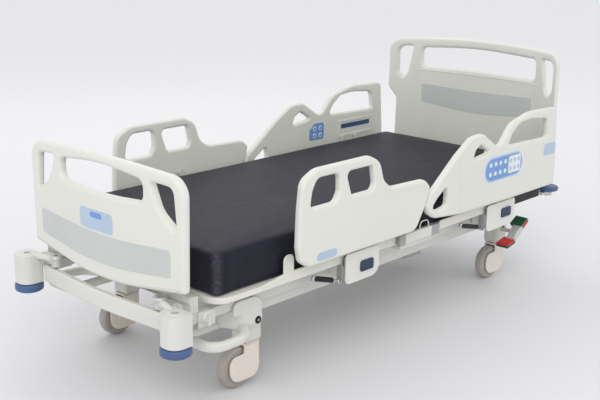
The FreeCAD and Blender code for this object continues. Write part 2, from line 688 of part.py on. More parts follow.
def build_struts(end):
    """A gas spring beside each bracket that lets its rail down slowly."""
    foot_end = end == "foot"
    start, middle, tip = ((-541, 358), (-440, 326), (-404, 315)) if foot_end else \
        ((372, 358), (500, 326), (556, 312))
    pieces = []
    for side_name, side in sides.items():
        across = side * 448
        for radius, ends_of_run in ((10, (start, middle)), (4, (middle, tip))):
            a, b = [FreeCAD.Vector(x, across, z) for x, z in ends_of_run]
            run = doc.addObject("Part::Cylinder", f"{end}_strut_{side_name}")
            run.Radius = radius
            run.Height = (b - a).Length
            run.Placement = FreeCAD.Placement(a, FreeCAD.Rotation(FreeCAD.Vector(0, 0, 1), b - a))
            pieces.append(run)
    node(join(end + "_struts", "Compound", pieces), end + "_rail_struts")


def build_side_trim():
    """The long covers between the brackets, one on each side."""
    pieces = []
    for side_name, side in sides.items():
        low, high = side_span(side, "deckHalf + 8", "deckHalf + 22")
        pieces.append(box("trim_" + side_name, ("-82", "176"), (low, high), ("376", "417")))
        low, high = side_span(side, "frameOuter + 2", "deckHalf + 8")
        pieces.append(box("trim_shelf_" + side_name, ("-60", "150"), (low, high), ("354", "372")))
        low, high = side_span(side, "deckHalf + 3", "deckHalf + 8")
        pieces.append(box("trim_web_" + side_name, ("-60", "150"), (low, high), ("372", "412")))
    node(join("trims", "Compound", pieces), "side_trim")


build_base()
build_castings()
build_loops()
build_columns()
for end in ends:
    for side_name in sides:
        build_caster(end, side_name)
build_brake()
build_upper_frame()
build_end_beam()
build_posts()
build_sockets()
build_bumpers()
build_actuators()
build_deck()
build_mattress()
build_footboard()
build_headboard()
for end in ends:
    build_brackets(end)
    build_struts(end)
    for side_name in sides:
        build_rail(end, side_name)
        build_handle(end, side_name)
build_side_trim()
doc.recompute()

for thing in doc.Objects:
    if "Invalid" in thing.State or "Error" in thing.State:
        raise RuntimeError(f"{thing.Name} failed: {thing.State}")
for thing in nodes:
    if thing.Shape.isNull() or not thing.Shape.isValid():
        raise RuntimeError(f"{thing.Label} has no valid shape")
for thing in nodes:
    thing.Shape.exportStep(f"parts/{thing.Label}.step")
print(len(nodes), "sub-parts written")
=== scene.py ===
import bmesh
import bpy
import json
import math
from mathutils import Matrix, Vector, noise
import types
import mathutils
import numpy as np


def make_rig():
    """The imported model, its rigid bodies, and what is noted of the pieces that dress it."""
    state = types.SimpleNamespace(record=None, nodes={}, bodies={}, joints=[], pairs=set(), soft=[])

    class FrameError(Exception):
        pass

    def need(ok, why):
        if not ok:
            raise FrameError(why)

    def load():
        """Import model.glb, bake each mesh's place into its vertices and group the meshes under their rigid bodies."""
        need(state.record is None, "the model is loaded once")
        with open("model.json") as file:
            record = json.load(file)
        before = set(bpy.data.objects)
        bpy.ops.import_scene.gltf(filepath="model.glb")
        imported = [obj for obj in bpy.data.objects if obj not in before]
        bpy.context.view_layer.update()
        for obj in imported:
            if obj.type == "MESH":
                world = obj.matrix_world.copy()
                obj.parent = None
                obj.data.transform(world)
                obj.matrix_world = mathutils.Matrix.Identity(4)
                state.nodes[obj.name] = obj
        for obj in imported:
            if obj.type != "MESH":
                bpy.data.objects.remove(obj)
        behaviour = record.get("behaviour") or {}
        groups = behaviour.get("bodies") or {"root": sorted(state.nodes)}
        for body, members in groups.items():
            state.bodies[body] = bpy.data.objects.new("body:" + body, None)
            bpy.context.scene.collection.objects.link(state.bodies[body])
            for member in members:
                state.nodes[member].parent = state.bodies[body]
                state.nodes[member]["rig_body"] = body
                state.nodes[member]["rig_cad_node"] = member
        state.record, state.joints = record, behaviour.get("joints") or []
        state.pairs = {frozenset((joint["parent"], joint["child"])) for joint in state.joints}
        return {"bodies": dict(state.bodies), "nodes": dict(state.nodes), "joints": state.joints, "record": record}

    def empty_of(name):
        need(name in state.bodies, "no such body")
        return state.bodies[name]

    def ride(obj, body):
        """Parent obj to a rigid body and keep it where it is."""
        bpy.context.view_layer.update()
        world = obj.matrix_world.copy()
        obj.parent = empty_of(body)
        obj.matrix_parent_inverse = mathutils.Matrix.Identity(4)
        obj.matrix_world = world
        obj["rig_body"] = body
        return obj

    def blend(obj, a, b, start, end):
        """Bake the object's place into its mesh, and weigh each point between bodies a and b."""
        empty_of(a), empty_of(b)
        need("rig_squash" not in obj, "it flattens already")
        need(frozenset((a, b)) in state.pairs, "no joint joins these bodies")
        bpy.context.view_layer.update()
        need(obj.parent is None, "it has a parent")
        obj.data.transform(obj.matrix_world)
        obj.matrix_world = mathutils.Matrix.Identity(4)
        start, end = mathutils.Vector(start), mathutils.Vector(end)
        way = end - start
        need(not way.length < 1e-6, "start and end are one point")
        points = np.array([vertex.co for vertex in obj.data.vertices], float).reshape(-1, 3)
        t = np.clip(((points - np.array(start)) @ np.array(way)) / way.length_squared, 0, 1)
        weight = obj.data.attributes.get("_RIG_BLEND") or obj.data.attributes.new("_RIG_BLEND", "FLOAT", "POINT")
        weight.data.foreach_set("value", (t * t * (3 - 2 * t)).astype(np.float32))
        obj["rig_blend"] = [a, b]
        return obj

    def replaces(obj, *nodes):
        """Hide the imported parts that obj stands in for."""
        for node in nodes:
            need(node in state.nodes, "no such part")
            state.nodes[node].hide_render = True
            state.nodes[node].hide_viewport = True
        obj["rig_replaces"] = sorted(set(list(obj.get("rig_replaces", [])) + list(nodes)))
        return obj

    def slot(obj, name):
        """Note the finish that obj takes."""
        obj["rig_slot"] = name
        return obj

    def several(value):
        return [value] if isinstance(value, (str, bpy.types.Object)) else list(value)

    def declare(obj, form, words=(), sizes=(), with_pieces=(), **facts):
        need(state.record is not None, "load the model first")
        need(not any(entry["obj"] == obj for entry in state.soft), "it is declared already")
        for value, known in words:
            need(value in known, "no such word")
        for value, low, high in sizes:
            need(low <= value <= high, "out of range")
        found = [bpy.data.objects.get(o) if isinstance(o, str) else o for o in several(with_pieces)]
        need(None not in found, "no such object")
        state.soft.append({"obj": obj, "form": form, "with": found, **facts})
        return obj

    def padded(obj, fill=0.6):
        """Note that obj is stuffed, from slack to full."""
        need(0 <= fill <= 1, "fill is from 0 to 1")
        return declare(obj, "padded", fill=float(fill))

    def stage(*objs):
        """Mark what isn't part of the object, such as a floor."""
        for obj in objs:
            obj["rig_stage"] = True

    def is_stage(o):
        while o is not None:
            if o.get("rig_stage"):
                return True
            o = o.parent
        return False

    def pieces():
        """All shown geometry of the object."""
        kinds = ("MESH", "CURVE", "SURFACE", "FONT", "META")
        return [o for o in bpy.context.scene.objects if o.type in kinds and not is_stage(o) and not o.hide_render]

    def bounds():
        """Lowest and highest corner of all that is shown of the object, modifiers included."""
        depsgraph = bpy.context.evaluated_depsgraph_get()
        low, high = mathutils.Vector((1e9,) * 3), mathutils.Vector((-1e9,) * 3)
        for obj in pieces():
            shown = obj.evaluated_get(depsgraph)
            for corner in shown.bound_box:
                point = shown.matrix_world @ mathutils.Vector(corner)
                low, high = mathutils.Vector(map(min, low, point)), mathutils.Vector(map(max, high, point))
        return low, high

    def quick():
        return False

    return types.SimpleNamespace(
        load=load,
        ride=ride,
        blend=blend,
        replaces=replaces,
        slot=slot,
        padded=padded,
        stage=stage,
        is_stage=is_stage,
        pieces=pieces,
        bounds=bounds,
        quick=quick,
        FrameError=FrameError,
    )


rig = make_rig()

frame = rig.load()
cadLow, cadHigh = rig.bounds()
scene = bpy.context.scene
sides = {"left": -1, "right": 1}
ends = ("foot", "head")
shownNodes = set(frame["nodes"])
print("frame loaded")


# a node whose inputs are set to values or linked to other nodes' outputs
def addNode(tree, kind, inputs=()):
    node = tree.nodes.new(kind)
    for slot, value in dict(inputs).items():
        if isinstance(value, bpy.types.NodeSocket):
            tree.links.new(value, node.inputs[slot])
        else:
            node.inputs[slot].default_value = value
    return node


def blendNode(tree, low, high, share):
    node = addNode(tree, "ShaderNodeMix")
    node.data_type = "RGBA"
    for slot, value in ((0, share), (6, low), (7, high)):
        if isinstance(value, bpy.types.NodeSocket):
            tree.links.new(value, node.inputs[slot])
        else:
            node.inputs[slot].default_value = (*value, 1)
    return node.outputs[2]


# finishes: every one is a small node tree in Object coordinates
def makeFinish(name, settings):
    material = bpy.data.materials.new(name)
    material.use_nodes = True
    tree = material.node_tree
    shader = tree.nodes["Principled BSDF"].inputs
    spot = addNode(tree, "ShaderNodeTexCoord").outputs["Object"]
    base = settings["colour"]
    shade = settings.get("shade", tuple(c * 0.93 for c in base))
    cloud = addNode(tree, "ShaderNodeTexNoise", {
        "Scale": settings.get("cloudScale", 5.0), "Detail": 3.0, "Vector": spot})
    ramp = addNode(tree, "ShaderNodeValToRGB", {"Fac": cloud.outputs["Fac"]})
    for stop, place, colour in zip(ramp.color_ramp.elements, (0.35, 0.65), (shade, base)):
        stop.position = place
        stop.color = (*colour, 1)
    tree.links.new(ramp.outputs["Color"], shader["Base Color"])
    patch = addNode(tree, "ShaderNodeTexNoise", {"Scale": 34.0, "Vector": spot})
    spread = addNode(tree, "ShaderNodeMapRange", {
        "To Min": max(settings["rough"] - 0.05, 0.02),
        "To Max": min(settings["rough"] + 0.07, 1.0), "Value": patch.outputs["Fac"]})
    tree.links.new(spread.outputs["Result"], shader["Roughness"])
    grain = addNode(tree, "ShaderNodeTexNoise", {
        "Scale": settings.get("grainScale", 900.0), "Detail": 2.0, "Vector": spot})
    bump = addNode(tree, "ShaderNodeBump", {
        "Strength": settings.get("grain", 0.05),
        "Distance": settings.get("grainDepth", 0.0004), "Height": grain.outputs["Fac"]})
    tree.links.new(bump.outputs["Normal"], shader["Normal"])
    shader["Metallic"].default_value = settings.get("metal", 0.0)
    shader["Sheen Weight"].default_value = settings.get("sheen", 0.0)
    shader["Specular IOR Level"].default_value = settings.get("gloss", 0.5)
    return material, tree, shader, spot, ramp.outputs["Color"], bump.outputs["Normal"]


finishes = {
    "shell": ("shellPlastic", {
        "colour": (0.74, 0.745, 0.685), "shade": (0.72, 0.725, 0.662), "rough": 0.40,
        "grain": 0.06, "cloudScale": 3.0}),
    "inset": ("insertLaminate", {
        "colour": (0.56, 0.59, 0.575), "shade": (0.54, 0.57, 0.555), "rough": 0.44,
        "grain": 0.05}),
    "coat": ("frameCoat", {
        "colour": (0.66, 0.665, 0.62), "shade": (0.63, 0.635, 0.59), "rough": 0.42, "grain": 0.16,
        "grainScale": 520.0}),
    "casting": ("castingCoat", {
        "colour": (0.70, 0.705, 0.655), "shade": (0.67, 0.675, 0.625), "rough": 0.36,
        "grain": 0.08}),
    "lift": ("liftTube", {
        "colour": (0.62, 0.62, 0.61), "rough": 0.34, "metal": 0.35, "grain": 0.05}),
    "caster": ("casterShell", {
        "colour": (0.80, 0.735, 0.665), "shade": (0.77, 0.70, 0.63), "rough": 0.36,
        "grain": 0.05}),
    "bumper": ("bumperPlastic", {
        "colour": (0.065, 0.125, 0.265), "shade": (0.055, 0.11, 0.24), "rough": 0.38,
        "grain": 0.08}),
    "deck": ("deckPlastic", {
        "colour": (0.76, 0.75, 0.68), "rough": 0.46, "grain": 0.12, "grainScale": 420.0}),
    "handle": ("handlePlastic", {
        "colour": (0.013, 0.034, 0.085), "rough": 0.42, "grain": 0.05}),
    "black": ("strutBlack", {
        "colour": (0.008, 0.008, 0.009), "rough": 0.34, "gloss": 0.25, "grain": 0.04}),
    "chrome": ("brightRod", {
        "colour": (0.72, 0.73, 0.75), "rough": 0.14, "metal": 1.0, "grain": 0.02}),
    "steel": ("brakeSteel", {
        "colour": (0.42, 0.42, 0.43), "rough": 0.34, "metal": 0.85, "grain": 0.06}),
    "drive": ("drivePlastic", {
        "colour": (0.11, 0.11, 0.12), "rough": 0.48, "grain": 0.10}),
    "grey": ("greyTrim", {
        "colour": (0.36, 0.37, 0.365), "rough": 0.44, "grain": 0.08}),
    "red": ("pedalRed", {
        "colour": (0.68, 0.022, 0.018), "shade": (0.58, 0.018, 0.015), "rough": 0.36,
        "grain": 0.10}),
    "green": ("pedalGreen", {
        "colour": (0.010, 0.105, 0.045), "shade": (0.008, 0.08, 0.035), "rough": 0.38,
        "grain": 0.10}),
    "panel": ("panelBlue", {
        "colour": (0.16, 0.33, 0.66), "shade": (0.145, 0.30, 0.61), "rough": 0.34,
        "grain": 0.04}),
    "paleBlue": ("panelRim", {
        "colour": (0.45, 0.60, 0.80), "rough": 0.36, "grain": 0.04}),
    "label": ("labelBlue", {
        "colour": (0.46, 0.565, 0.70), "rough": 0.38, "grain": 0.04}),
    "key": ("keyWhite", {
        "colour": (0.78, 0.80, 0.80), "rough": 0.34, "grain": 0.04}),
    "darkBlue": ("stripBlue", {
        "colour": (0.03, 0.075, 0.20), "rough": 0.30, "grain": 0.04}),
    "tyre": ("tyreRubber", {
        "colour": (0.42, 0.385, 0.36), "shade": (0.37, 0.335, 0.31), "rough": 0.45,
        "grain": 0.25, "grainScale": 600.0})}
finishes = {name: makeFinish(*finish)[0] for name, finish in finishes.items()}


def makeMattressFinish():
    settings = {"colour": (0.0150, 0.0153, 0.0265), "shade": (0.0120, 0.0120, 0.0205),
                "rough": 0.50, "sheen": 0.02, "gloss": 0.15, "grain": 0.35,
                "grainScale": 1500.0, "grainDepth": 0.0005, "cloudScale": 2.2}
    # a painted highlight: paler colour down the cover's upright corners
    cornerHighlight = {"colour": (0.17, 0.165, 0.20), "alongX": 0.992, "alongY": 0.442, "wide": 0.034}
    material, tree, shader, spot, colour, bump = makeFinish("mattressCover", settings)
    folds = addNode(tree, "ShaderNodeTexNoise", {  # soft folds of the cover
        "Scale": 7.0, "Detail": 4.0, "Distortion": 0.7, "Vector": spot})
    crease = addNode(tree, "ShaderNodeBump", {
        "Strength": 0.35, "Distance": 0.006, "Height": folds.outputs["Fac"], "Normal": bump})
    tree.links.new(crease.outputs["Normal"], shader["Normal"])
    split = addNode(tree, "ShaderNodeSeparateXYZ", {"Vector": spot})  # painted highlight: the cover is paler round the upright corners

    def step(kind, *values):
        node = tree.nodes.new("ShaderNodeMath")
        node.operation = kind
        for slot, value in enumerate(values):
            if isinstance(value, float):
                node.inputs[slot].default_value = value
            else:
                tree.links.new(value, node.inputs[slot])
        return node.outputs[0]
    fromEnd = step("SUBTRACT", cornerHighlight["alongX"], step("ABSOLUTE", split.outputs["X"]))
    fromSide = step("SUBTRACT", cornerHighlight["alongY"], step("ABSOLUTE", split.outputs["Y"]))
    away = step("SQRT", step("ADD", step("MULTIPLY", fromEnd, fromEnd),
                             step("MULTIPLY", fromSide, fromSide)))
    near = addNode(tree, "ShaderNodeMapRange", {
        "From Min": cornerHighlight["wide"], "From Max": 0.002, "Value": away})
    streak = addNode(tree, "ShaderNodeTexNoise", {"Scale": 90.0, "Detail": 5.0, "Vector": spot})
    highlightShare = step("MULTIPLY", near.outputs["Result"], step("POWER", streak.outputs["Fac"], 1.6))
    tree.links.new(blendNode(tree, colour, cornerHighlight["colour"], highlightShare), shader["Base Color"])
    return material


finishes["cover"] = makeMattressFinish()
print("finishes made")


# shapes; outlines are in millimetres
def roundedLoop(corners, closed=True, finest=4.0):
    points = []
    count = len(corners)
    for i, corner in enumerate(corners):
        here = Vector(corner[:2])
        radius = corner[2] if len(corner) > 2 else 0
        if radius <= 0 or (not closed and i in (0, count - 1)):
            points.append(here)
            continue
        a = Vector(corners[i - 1][:2]) - here
        b = Vector(corners[(i + 1) % count][:2]) - here
        reach = 0.49 * min(a.length, b.length)
        a.normalize()
        b.normalize()
        half = a.angle(b) / 2
        if half > math.pi / 2 - 0.004:
            points.append(here)
            continue
        run = min(radius / math.tan(half), reach)
        radius = run * math.tan(half)
        centre = here + (a + b).normalized() * (radius / math.sin(half))
        start = here + a * run - centre
        sweep = math.pi - 2 * half
        turn = 1 if start.cross(here - centre) > 0 else -1
        steps = min(max(2, int(radius * sweep / finest)), 22)
        for k in range(steps + 1):
            angle = turn * sweep * k / steps
            points.append(centre + Vector((start.x * math.cos(angle) - start.y * math.sin(angle),
                                           start.x * math.sin(angle) + start.y * math.cos(angle))))
    return points


def oblong(low, bottom, high, top, radius):
    return [(low, bottom, radius), (high, bottom, radius), (high, top, radius),
            (low, top, radius)]


def addObject(name, data):
    holder = bpy.data.objects.new(name, data)
    scene.collection.objects.link(holder)
    return holder


def bakedMesh(holder):
    return bpy.data.meshes.new_from_object(holder.evaluated_get(
        bpy.context.evaluated_depsgraph_get()))


def takeMesh(mesh):
    shape = bmesh.new()
    shape.from_mesh(mesh)
    bpy.data.meshes.remove(mesh)
    return shape


# a plate with rounded edges from outlines, in local u, v, w with w from 0 to thick
def slabMesh(loops, thick, bevel, segments=4):
    curve = bpy.data.curves.new("outline", "CURVE")
    curve.dimensions = "2D"
    curve.fill_mode = "BOTH"
    curve.extrude = (thick / 2 - bevel) / 1000
    curve.bevel_depth = bevel / 1000
    curve.bevel_resolution = segments - 1
    curve.offset = -bevel / 1000
    for loop in loops:
        points = roundedLoop(loop)
        spline = curve.splines.new("POLY")
        spline.points.add(len(points) - 1)
        spline.use_cyclic_u = True
        for spot, p in zip(spline.points, points):
            spot.co = (p.x / 1000, p.y / 1000, 0, 1)
    holder = addObject("outline", curve)
    bpy.context.view_layer.update()
    mesh = bakedMesh(holder)
    bpy.data.objects.remove(holder)
    bpy.data.curves.remove(curve)
    shape = takeMesh(mesh)
    bmesh.ops.remove_doubles(shape, verts=shape.verts, dist=2e-5)
    bmesh.ops.dissolve_limit(shape, angle_limit=0.01, verts=shape.verts, edges=shape.edges)
    for v in shape.verts:
        v.co.z += thick / 2000
    return shape


# turns (radius, height) points round local Z; the profile runs from one pole to the other
def lathe(profile, segments=48):
    shape = bmesh.new()
    rings = []
    for radius, height in profile:
        if radius <= 0:
            rings.append([shape.verts.new((0, 0, height / 1000))])
            continue
        rings.append([shape.verts.new((radius / 1000 * math.cos(2 * math.pi * k / segments),
                                       radius / 1000 * math.sin(2 * math.pi * k / segments),
                                       height / 1000)) for k in range(segments)])
    for low, high in zip(rings, rings[1:]):
        for k in range(segments):
            m = (k + 1) % segments
            if len(low) == 1 and len(high) > 1:
                shape.faces.new((low[0], high[m], high[k]))
            elif len(high) == 1 and len(low) > 1:
                shape.faces.new((low[k], low[m], high[0]))
            elif len(low) > 1:
                shape.faces.new((low[k], low[m], high[m], high[k]))
    return shape


def plainBox(low, high):
    shape = bmesh.new()
    bmesh.ops.create_cube(shape, size=1.0)
    for v in shape.verts:
        v.co = Vector([(low[i] + high[i]) / 2000 + v.co[i] * (high[i] - low[i]) / 1000
                       for i in range(3)])
    return shape


def roundBox(low, high, bevel, segments=3):
    shape = plainBox(low, high)
    bmesh.ops.bevel(shape, geom=shape.edges, offset=bevel / 1000, segments=segments, profile=0.5,
                    affect="EDGES")
    return shape


def moveShape(shape, place):
    for v in shape.verts:
        v.co = place(v.co.copy())
    return shape


# places a lathe shape with its local Z along an axis; at is in millimetres
def turned(axis, at):
    spin = Vector((0, 0, 1)).rotation_difference(Vector(axis))
    spot = Vector(at) / 1000
    return lambda p: spin @ p + spot


def latheAt(profile, segments, axis, at, closed=False):
    shape = lathe(profile, segments)
    if closed:
        bmesh.ops.remove_doubles(shape, verts=shape.verts, dist=1e-6)
    return moveShape(shape, turned(axis, at))


def mergeShapes(shapes):
    whole = bmesh.new()
    for part in shapes:
        mesh = bpy.data.meshes.new("part")
        part.to_mesh(mesh)
        part.free()
        whole.from_mesh(mesh)
        bpy.data.meshes.remove(mesh)
    return whole


def finishPiece(name, shape, finish, body, replaces=(), slotName=None, sharp=38, weighted=True,
                second=None, secondTest=None):
    bmesh.ops.recalc_face_normals(shape, faces=shape.faces)
    mesh = bpy.data.meshes.new(name)
    shape.to_mesh(mesh)
    shape.free()
    piece = addObject(name, mesh)
    mesh.shade_smooth()
    mesh.set_sharp_from_angle(angle=math.radians(sharp))
    mesh.materials.append(finishes[finish])
    if second:
        mesh.materials.append(finishes[second])
        for face in mesh.polygons:
            face.material_index = 1 if secondTest(face) else 0
    if weighted:
        even = piece.modifiers.new("even", "WEIGHTED_NORMAL")
        even.keep_sharp = True
        even.weight = 60
        baked = bakedMesh(piece)
        piece.modifiers.remove(even)
        piece.data = baked
        baked.name = name
        bpy.data.meshes.remove(mesh)
    for node in replaces:
        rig.replaces(piece, node)
        shownNodes.discard(node)
    if body:
        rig.ride(piece, body)
    if slotName:
        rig.slot(piece, slotName)
    return piece


def bodyOf(node):
    for body, nodes in frame["record"]["behaviour"]["bodies"].items():
        if node in nodes:
            return body
    return "root"


# a merged copy of a CAD node with its hard edges rounded; it stands for the node
def softenNode(node, finish, width=1.5, segments=2, slotName=None, second=None,
               secondTest=None):
    shape = bmesh.new()
    shape.from_mesh(frame["nodes"][node].data)
    bmesh.ops.remove_doubles(shape, verts=shape.verts, dist=2e-5)
    bmesh.ops.dissolve_limit(shape, angle_limit=0.02, verts=shape.verts, edges=shape.edges)
    bmesh.ops.recalc_face_normals(shape, faces=shape.faces)
    edges = [e for e in shape.edges if e.is_manifold and e.calc_face_angle(0) > 0.7]
    if edges and width:
        bmesh.ops.bevel(shape, geom=edges, offset=width / 1000, segments=segments, profile=0.5,
                        affect="EDGES", clamp_overlap=True)
    return finishPiece(node + "_finish", shape, finish, bodyOf(node), (node,), slotName,
                       second=second, secondTest=secondTest)


# node trees for rows of keys and for tubes that follow a path
def newTree(name, sockets):
    tree = bpy.data.node_groups.new(name, "GeometryNodeTree")
    for label, kind, side in [("Geometry", "Geometry", "INPUT")] + [
            (label, kind, "INPUT") for label, kind in sockets.items()] + [
            ("Geometry", "Geometry", "OUTPUT")]:
        tree.interface.new_socket(label, in_out=side, socket_type="NodeSocket" + kind)
    return tree, tree.nodes.new("NodeGroupInput").outputs


def endTree(tree, made, finish):
    end = tree.nodes.new("NodeGroupOutput")
    real = addNode(tree, "GeometryNodeRealizeInstances", {"Geometry": made})
    paint = addNode(tree, "GeometryNodeSetMaterial", {
        "Geometry": real.outputs["Geometry"], "Material": finish})
    tree.links.new(paint.outputs["Geometry"], end.inputs["Geometry"])
    return tree


def makeStudTree():
    tree, given = newTree("studGrid", {
        "Columns": "Int", "Rows": "Int", "Wide": "Float", "High": "Float", "Radius": "Float",
        "Depth": "Float", "Sides": "Int", "Finish": "Material"})
    grid = addNode(tree, "GeometryNodeMeshGrid", {
        "Vertices X": given["Columns"], "Vertices Y": given["Rows"], "Size X": given["Wide"],
        "Size Y": given["High"]})
    narrow = addNode(tree, "ShaderNodeMath", {0: given["Radius"], 1: 0.86})
    narrow.operation = "MULTIPLY"
    stud = addNode(tree, "GeometryNodeMeshCone", {
        "Vertices": given["Sides"], "Radius Bottom": given["Radius"],
        "Radius Top": narrow.outputs[0], "Depth": given["Depth"]})
    many = addNode(tree, "GeometryNodeInstanceOnPoints", {
        "Points": grid.outputs["Mesh"], "Instance": stud.outputs["Mesh"]})
    return endTree(tree, many.outputs["Instances"], given["Finish"])


def makeSweepTree():
    tree, given = newTree("sweepTube", {"Radius": "Float", "Round": "Int", "Finish": "Material"})
    line = addNode(tree, "GeometryNodeMeshToCurve", {"Mesh": given["Geometry"]})
    ring = addNode(tree, "GeometryNodeCurvePrimitiveCircle", {
        "Radius": given["Radius"], "Resolution": given["Round"]})
    sweep = addNode(tree, "GeometryNodeCurveToMesh", {
        "Curve": line.outputs["Curve"], "Profile Curve": ring.outputs["Curve"],
        "Fill Caps": True})
    return endTree(tree, sweep.outputs["Mesh"], given["Finish"])


studTree = makeStudTree()
sweepTree = makeSweepTree()


# runs a node tree on a scratch object and returns what it makes as a bmesh
def growMesh(tree, values, source=None):
    mesh = source or bpy.data.meshes.new("seed")
    holder = addObject("seed", mesh)
    grow = holder.modifiers.new("grow", "NODES")
    grow.node_group = tree
    for item in tree.interface.items_tree:
        if item.item_type == "SOCKET" and item.in_out == "INPUT" and item.name in values:
            grow[item.identifier] = values[item.name]
    bpy.context.view_layer.update()
    made = bakedMesh(holder)
    bpy.data.objects.remove(holder)
    shape = takeMesh(made)
    bmesh.ops.remove_doubles(shape, verts=shape.verts, dist=1e-6)
    return shape


def studShape(settings):
    return growMesh(studTree, {
        "Columns": settings["columns"], "Rows": settings["rows"],
        "Wide": settings["wide"] / 1000, "High": settings["high"] / 1000,
        "Radius": settings["radius"] / 1000, "Depth": settings["depth"] / 1000,
        "Sides": settings.get("sides", 24), "Finish": finishes[settings["finish"]]})


# a tube of one radius along points given in millimetres
def tubeShape(path, radius, finish, roundness=12):
    mesh = bpy.data.meshes.new("path")
    points = [Vector(p) / 1000 for p in path]
    mesh.from_pydata(points, [(k, k + 1) for k in range(len(points) - 1)], [])
    return growMesh(sweepTree, {"Radius": radius / 1000, "Round": roundness,
                                "Finish": finishes[finish]}, mesh)


# a Catmull-Rom line through a few points
def smoothPath(points, steps=8):
    line = []
    spots = [Vector(points[0])] + [Vector(p) for p in points] + [Vector(points[-1])]
    for a, b, c, d in zip(spots, spots[1:], spots[2:], spots[3:]):
        for k in range(steps):
            t = k / steps
            line.append(0.5 * (2 * b + (c - a) * t + (2 * a - 5 * b + 4 * c - d) * t * t
                               + (3 * b - a - 3 * c + d) * t ** 3))
    line.append(spots[-1])
    return line


# places a slab in an X-Z plane; w runs outward from |y| = inner
def upright(side, inner):
    return lambda p: Vector((p.x, side * (inner / 1000 + p.z), p.y))


def flat(height):
    return lambda p: Vector((p.x, p.y, height / 1000 + p.z))


# the same upright plate on the left and on the right of the bed
def platePair(loop, thick, bevel, segments, inner):
    return [moveShape(slabMesh([loop], thick, bevel, segments), upright(sign, inner))
            for sign in (-1, 1)]


# the same rounded bar on both sides; x, y and z are (low, high), with y counted outward
def barPair(x, y, z, bevel):
    return [roundBox((x[0], min(sign * y[0], sign * y[1]), z[0]),
                     (x[1], max(sign * y[0], sign * y[1]), z[1]), bevel, 2) for sign in (-1, 1)]


print("tools ready")


# side rails
footRailOutline = [
    (-685, 511, 40), (-674, 462, 30), (-632, 434, 40), (-40, 434, 30), (-16, 452, 30),
    (32, 529, 70), (56, 595, 18), (20, 630, 60), (-192, 637, 120), (-234, 672, 60),
    (-258, 745, 60), (-318, 774, 60), (-600, 774, 90), (-668, 742, 50), (-680, 640, 200)]
footRailWindows = [
    [(-628, 640, 16), (-500, 640, 26), (-480, 672, 30), (-482, 740, 24), (-594, 740, 34),
     (-618, 700, 60)],
    [(-412, 646, 16), (-297, 646, 18), (-288, 670, 20), (-302, 737, 18), (-445, 737, 18)]]
headRailOutline = [
    (97, 458, 50), (52, 484, 30), (32, 517, 20), (52, 556, 30), (232, 690, 200), (330, 748, 90),
    (412, 752, 80), (520, 684, 34), (552, 688, 30), (628, 766, 90), (770, 798, 300),
    (1000, 792, 30), (1010, 690, 80), (1022, 560, 200), (1024, 434, 12), (640, 434, 0),
    (263, 440, 300)]
headRailWindows = [
    [(70, 500, 12), (105, 534, 60), (166, 574, 10), (176, 534, 20), (172, 496, 14),
     (120, 488, 60)],
    [(344, 652, 8), (362, 690, 14), (398, 708, 12), (470, 666, 7)],
    [(602, 673, 10), (634, 718, 60), (690, 757, 60), (780, 764, 200), (922, 750, 26),
     (936, 664, 10)]]


def makeRails():
    settings = {"inner": 485, "thick": 30, "bevel": 12}
    for end in ends:
        outline = footRailOutline if end == "foot" else headRailOutline
        windows = footRailWindows if end == "foot" else headRailWindows
        for side, sign in sides.items():
            rail = f"{end}_rail_{side}"
            shape = slabMesh([outline] + windows, settings["thick"], settings["bevel"], 5)
            moveShape(shape, upright(sign, settings["inner"]))
            finishPiece(rail + "_shell", shape, "shell", rail, (rail,), "shell_plastic")


# a thin plate let into a rail's face; face is +1 for the outer one and -1 for the inner
def plateOn(name, body, sign, loops, face, proud, finish, slotName, sunk=1.5, bevel=0.5):
    thick = proud + sunk
    shape = slabMesh(loops, thick, min(bevel, thick / 3), 2)
    inner = 515 - sunk if face > 0 else 485 - proud
    moveShape(shape, upright(sign, inner))
    return finishPiece(name, shape, finish, body, (), slotName)


# a grid of keys whose tops stand a given distance off a rail's face
def keysOn(name, body, sign, at, settings, face, stand):
    shape = studShape(settings)
    half = settings["depth"] / 2
    level = 515 + stand - half if face > 0 else 485 - stand + half

    def place(p):
        return Vector((at[0] / 1000 + p.x, sign * (level / 1000 + face * (p.z - half / 1000)),
                       at[1] / 1000 + p.y))
    moveShape(shape, place)
    return finishPiece(name, shape, settings["finish"], body, (), "handle_plastic")


def makeNursePanels():
    plates = {
        "rim": (oblong(430, 535, 724, 641, 53), 0.8, "paleBlue"),
        "face": (oblong(437, 542, 717, 634, 46), 1.6, "panel"),
        "pad": (oblong(609, 553, 705, 627, 12), 2.4, "key")}
    padKeys = {"columns": 3, "rows": 2, "wide": 62, "high": 34, "radius": 11.5, "depth": 3.0,
               "finish": "label", "sides": 28}
    keys = {"columns": 4, "rows": 1, "wide": 112, "high": 0, "radius": 10.5, "depth": 3.0,
            "finish": "key"}
    badge = oblong(904, 582, 1006, 636, 14)
    for side, sign in sides.items():
        rail = "head_rail_" + side
        for part, (loop, proud, finish) in plates.items():
            plateOn(f"nurse_{part}_{side}", rail, sign, [loop], 1, proud, finish,
                    "handle_plastic")
        keysOn(f"nurse_pad_keys_{side}", rail, sign, (657, 590), padKeys, 1, 3.6)
        keysOn(f"nurse_keys_upper_{side}", rail, sign, (528, 610), keys, 1, 2.8)
        keysOn(f"nurse_keys_lower_{side}", rail, sign, (528, 570), keys, 1, 2.8)
        plateOn(f"head_label_{side}", rail, sign, [badge], 1, 0.8, "label", "handle_plastic")


